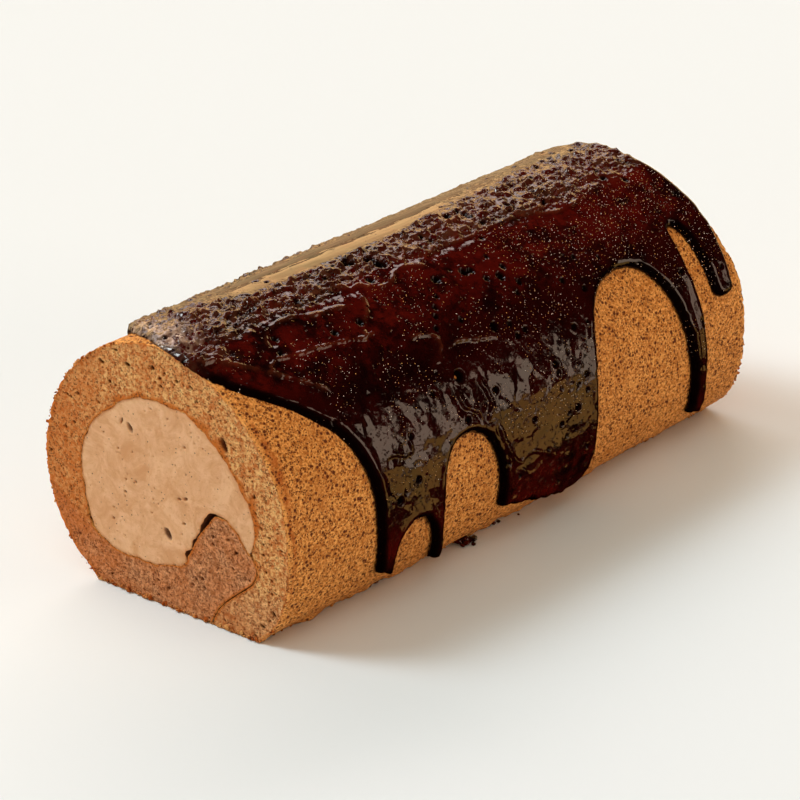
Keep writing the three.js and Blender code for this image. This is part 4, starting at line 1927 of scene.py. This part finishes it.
def joined(name: str, lumps: list[tuple[Array, Array]], finish: Material) -> Piece:
    """One object of many small closed lumps.

    Args:
        name: Name of the object.
        lumps: Vertices in metres and triangles of each.
        finish: Their material.

    Returns:
        The object.
    """
    starts = np.cumsum([0] + [len(v) for v, _ in lumps[:-1]])
    vertices = np.vstack([v for v, _ in lumps])
    triangles = np.vstack([f + s for (_, f), s in zip(lumps, starts)])
    return Body(name, vertices, triangles).build([finish])


def boxed(points: Array) -> Array:
    """Points of a small lump, in metres, moved as a whole until the cake's box holds them."""
    low, high = np.array(CAD_BOUNDS)
    return points + np.maximum(low - points.min(axis=0), 0.0) - np.maximum(points.max(axis=0) - high, 0.0)


def turned(points: Array, normal: Array, random: np.random.Generator, tilt: float) -> Array:
    """Points with their z axis laid along a normal, spun and tilted at random."""
    lean = Vector(normal) + Vector(random.uniform(-tilt, tilt, 3))
    spin = Matrix.Rotation(random.uniform(0.0, 2.0 * math.pi), 3, "Z")
    frame_of = lean.to_track_quat("Z", "Y").to_matrix() @ spin
    return points @ np.array(frame_of).T


@dataclass
class GoldDust:
    """Fine flakes of edible gold shaken over the glaze."""

    form: RollForm
    glaze: Piece
    count: int = 4000
    sizes: Pair = (0.13, 0.38)
    spacing: float = 1.0
    seed: int = 41

    def wish(self, flat: Array) -> Array:
        """How likely a flake lies at places along the roll and across it, from 0 to 1."""
        x, y, z = flat.T
        far = 0.8 + 0.2 * ease(90.0, 150.0, x)
        high = ease(16.0, 36.0, z)
        clouds = np.clip(0.95 + 0.6 * rough(flat, 14.0, 3, Field.DUST_CLOUDS), 0.2, 1.0)
        return far * high * clouds * ease(30.0, -4.0, y)

    def build(self) -> Piece:
        """Builds and dresses the flakes.

        Returns:
            The object.
        """
        random = np.random.default_rng(self.seed)
        vertices = self.glaze.data.vertices
        corners, normals = np.zeros((2, len(vertices), 3))
        vertices.foreach_get("co", corners.ravel())
        vertices.foreach_get("normal", normals.ravel())
        own = corners / MM - self.form.origin()
        wish = self.wish(own) * (normals[:, 2] > -0.1) * random.uniform(0.0, 1.0, len(own))
        order = np.argsort(-wish)
        _, first = np.unique(np.round(own[order] / self.spacing), axis=0, return_index=True)
        chosen = order[np.sort(first)[: self.count]]
        lumps = []
        diamond = np.array([(1, 0, 0), (0, 1, 0), (-1, 0, 0), (0, -1, 0), (0, 0, 0.9), (0, 0, -0.9)], float)
        sides = [(number, (number + 1) % 4) for number in range(4)]
        faces = np.array([(a, b, 4) for a, b in sides] + [(b, a, 5) for a, b in sides])
        small, large = self.sizes
        for index in chosen:
            size = (small + (large - small) * random.uniform() ** 2.5) / 2.0 * MM
            flake = turned(diamond * size, normals[index], random, 0.7)
            lumps.append((flake + corners[index] + normals[index] * size * 0.3, faces))
        piece = joined("gold_dust", lumps, DustFinish().build())
        dress(piece)
        return piece


@dataclass
class RimCrumbs:
    """Loose crumbs that cling to the cut rims and the foot of the sponge."""

    form: RollForm
    rim_count: int = 280
    base_count: int = 190
    foot_count: int = 200
    rim_sizes: Pair = (0.3, 1.2)
    base_sizes: Pair = (0.5, 1.8)
    foot_sizes: Pair = (0.5, 1.8)
    back_skin: Pair = (0.0, 0.45)
    front_skin: Pair = (0.86, 1.0)
    foot_lines: Pair = (-30.0, 24.9)
    base_span: Pair = (-30.0, 26.0)
    far_share: float = 0.35
    main_share: float = 0.6
    seed: int = 51

    def on_rim(self, random: np.random.Generator) -> tuple[float, Array]:
        """Share along the roll and section point of a crumb on a cut rim, clear of the glaze."""
        span = self.back_skin if random.uniform() < self.main_share else self.front_skin
        distance = random.uniform(*span)
        where = np.array([distance * self.form.skin.length])
        inside = self.form.skin.at(where) - self.form.skin.right_of(where) * random.uniform(0.0, 0.5)
        return float(random.uniform() < self.far_share), inside

    def on_base(self, random: np.random.Generator) -> tuple[float, Array]:
        """Share along the roll and section point of a crumb at the bottom edge of a cut face."""
        return float(random.uniform() < self.far_share), np.array([[random.uniform(*self.base_span), 0.3]])

    def on_foot(self, random: np.random.Generator) -> tuple[float, Array]:
        """Share along the roll and section point of a crumb where a side meets the table."""
        side = self.foot_lines[0 if random.uniform() < self.main_share else 1]
        beyond = random.uniform(0.0, 0.9) * math.copysign(1.0, side)
        return random.uniform(0.01, 0.99), np.array([[side + beyond, 0.3]])

    def build(self) -> Piece:
        """Builds and dresses the crumbs.

        Returns:
            The object.
        """
        random = np.random.default_rng(self.seed)
        kinds = (
            (self.on_rim, self.rim_count, self.rim_sizes),
            (self.on_base, self.base_count, self.base_sizes),
            (self.on_foot, self.foot_count, self.foot_sizes),
        )
        lumps = []
        for pick, count, (small, large) in kinds:
            for _ in range(count):
                share, spot = pick(random)
                size = small + (large - small) * random.uniform() ** 2
                points, faces = blob(random, size, 0.6, random.uniform(0.3, 0.8))
                place = self.form.loft(np.array([share]), spot)[0]
                place[0] += random.uniform(-0.3, 0.5) * (1.0 - 2.0 * share)
                place[2] = max(place[2], size * 0.35)
                spin = turned(points, random.normal(size=3), random, 0.0)
                lumps.append((boxed(self.form.to_frame(spin + place)), faces))
        piece = joined("rim_crumbs", lumps, CrustFinish().build())
        dress(piece)
        return piece


@dataclass
class Scraps:
    """Bits of set glaze that fell at the foot of the front side."""

    form: RollForm
    spots: tuple[Triple, ...] = (
        (76.6, -33.2, 3.2), (78.6, -33.9, 3.4), (78.0, -35.6, 2.8), (80.4, -35.3, 2.6), (79.2, -37.0, 1.6),
        (76.4, -35.4, 2.0), (82.2, -34.6, 1.6), (89.4, -33.0, 1.5), (91.2, -33.2, 1.9), (93.0, -33.7, 1.4),
        (99.8, -35.0, 1.1), (43.6, -31.2, 2.6), (46.0, -31.0, 3.0), (48.3, -31.0, 2.0), (66.2, -32.2, 1.2),
    )
    seed: int = 61

    def build(self) -> Piece:
        """Builds and dresses the scraps.

        Returns:
            The object.
        """
        random = np.random.default_rng(self.seed)
        lumps = []
        for x, y, size in self.spots:
            points, faces = blob(random, size, 0.3, 0.5)
            points = turned(points, np.array([0.0, 0.0, 1.0]), random, 0.1)
            points[:, 2] -= points[:, 2].min()
            lumps.append((self.form.to_frame(points + (x, y, 0.0)), faces))
        piece = joined("glaze_scraps", lumps, GlazeFinish().build())
        dress(piece)
        return piece


# ---------- studio


@dataclass(frozen=True)
class Panel:
    """A soft light: where it stands as seen from the cake, how large it looks and how bright it is."""

    azimuth: float
    elevation: float
    wide: float
    high: float
    glow: float
    tint: Triple
    mirrored: bool = True
    distance: float = 24.0


class Soft(Enum):
    """The studio's soft lights; angles are in degrees, azimuth from +X towards +Y."""

    WINDOW = Panel(46.0, 14.0, 84.0, 22.0, 3.0, (1.0, 0.62, 0.27))
    SILL = Panel(46.0, -10.0, 84.0, 24.0, 0.8, (1.0, 0.66, 0.32))
    SKY = Panel(64.0, 38.0, 56.0, 16.0, 4.6, (1.0, 0.85, 0.80))
    CARD = Panel(-64.0, 8.0, 28.0, 32.0, 3.7, (1.0, 0.74, 0.55))
    TABLE_EDGE = Panel(-52.0, -18.0, 30.0, 18.0, 2.0, (1.0, 0.52, 0.13))
    GLINT = Panel(126.0, 47.0, 11.0, 11.0, 16.0, (0.94, 0.96, 1.0))
    FILL = Panel(223.0, 27.0, 50.0, 42.0, 0.74, (1.0, 0.72, 0.46), mirrored=False)
    OVERHEAD = Panel(210.0, 74.0, 70.0, 70.0, 1.03, (1.0, 0.84, 0.66), mirrored=False)


@dataclass
class Studio:
    """Floor, lights, surroundings and camera."""

    form: RollForm
    lens: float = 153.0
    distance: float = 1012.5
    azimuth: float = -45.588
    elevation: float = 27.5
    roll: float = 0.981
    target: Triple = (127.6, 37.8, 0.0)
    floor_size: float = 30.0
    floor_gap: float = 0.0002
    air: tuple = colour(250, 247, 240)
    sun_from: Triple = (-0.40, 0.55, 0.73)
    sun_power: float = 1.22
    sun_angle: float = 24.0
    sun_tint: Triple = (0.87, 1.0, 1.0)

    def build(self) -> None:
        """Builds everything round the cake."""
        self.floor()
        self.surroundings()
        self.sun()
        for soft in Soft:
            self.panel(soft)
        self.camera()

    def floor(self) -> None:
        """Lays the pale floor just under the cake."""
        half = self.floor_size / 2.0
        corners = [(x * half, y * half, -self.floor_gap) for x, y in ((-1, -1), (1, -1), (1, 1), (-1, 1))]
        mesh = bpy.data.meshes.new("floor")
        mesh.from_pydata(corners, [], [(0, 1, 2, 3)])
        mesh.materials.append(FloorFinish().build())
        floor = bpy.data.objects.new("floor", mesh)
        bpy.context.collection.objects.link(floor)
        floor.visible_glossy = False

    def surroundings(self) -> None:
        """Pale surroundings, which light and colour nothing themselves."""
        world = bpy.data.worlds.new("studio")
        world.use_nodes = True
        bpy.context.scene.world = world
        sky = world.node_tree.nodes["Background"]
        sky.inputs["Color"].default_value = self.air
        world.cycles_visibility.diffuse = False
        world.cycles_visibility.glossy = False

    def sun(self) -> None:
        """Hangs the main light, behind the cake and to its left."""
        lamp = bpy.data.lights.new("main_light", "SUN")
        lamp.energy = self.sun_power
        lamp.angle = math.radians(self.sun_angle)
        lamp.color = self.sun_tint
        self.hang(lamp, Vector(self.sun_from).normalized(), 3.0, True)

    def panel(self, soft: Soft) -> None:
        """Stands one soft light up, facing the cake."""
        panel = soft.value
        lamp = bpy.data.lights.new(soft.name.lower(), "AREA")
        lamp.shape = "RECTANGLE"
        lamp.size = 2.0 * panel.distance * math.tan(math.radians(panel.wide / 2.0))
        lamp.size_y = 2.0 * panel.distance * math.tan(math.radians(panel.high / 2.0))
        lamp.energy = panel.glow * math.pi * lamp.size * lamp.size_y
        lamp.color = panel.tint
        turn, rise = math.radians(panel.azimuth), math.radians(panel.elevation)
        aim = Vector((math.cos(turn) * math.cos(rise), math.sin(turn) * math.cos(rise), math.sin(rise)))
        self.hang(lamp, aim, panel.distance, panel.mirrored)

    def hang(self, lamp: bpy.types.Light, aim: Vector, distance: float, mirrored: bool) -> None:
        """Puts a light up.

        Args:
            lamp: The light.
            aim: Direction to it from the cake.
            distance: How far away it stands, in m.
            mirrored: Whether glossy surfaces show it.
        """
        piece = bpy.data.objects.new(lamp.name, lamp)
        piece.visible_glossy = mirrored
        piece.location = aim * distance + Vector((0.0, 0.0, 0.03))
        piece.rotation_euler = aim.to_track_quat("Z", "Y").to_euler()
        bpy.context.collection.objects.link(piece)

    def camera(self) -> None:
        """Sets the camera looking down on the near cut face and the front side."""
        data = bpy.data.cameras.new("camera")
        data.lens = self.lens
        data.sensor_width = 36.0
        data.clip_start, data.clip_end = 0.05, 20.0
        turn, rise = math.radians(self.azimuth), math.radians(self.elevation)
        back = Vector((math.sin(turn) * math.cos(rise), -math.cos(turn) * math.cos(rise), math.sin(rise)))
        camera = bpy.data.objects.new("camera", data)
        camera.location = Vector(self.form.to_frame(np.array([self.target]))[0]) + back * self.distance * MM
        aim = back.to_track_quat("Z", "Y").to_matrix()
        camera.rotation_euler = (aim @ Matrix.Rotation(-math.radians(self.roll), 3, "Z")).to_euler()
        bpy.context.collection.objects.link(camera)
        bpy.context.scene.camera = camera
        bpy.context.scene.view_settings.view_transform = "Standard"


def main() -> None:
    """Builds the cake, dresses it and lights it."""
    logging.basicConfig(level=logging.INFO, format="%(name)s: %(message)s", stream=sys.stdout)
    form = RollForm()
    Sponge(form).build()
    Cream(form).build()
    glaze = Glaze(form).build()
    GoldDust(form, glaze).build()
    RimCrumbs(form).build()
    Scraps(form).build()
    Studio(form).build()


if __name__ == "__main__":
    main()
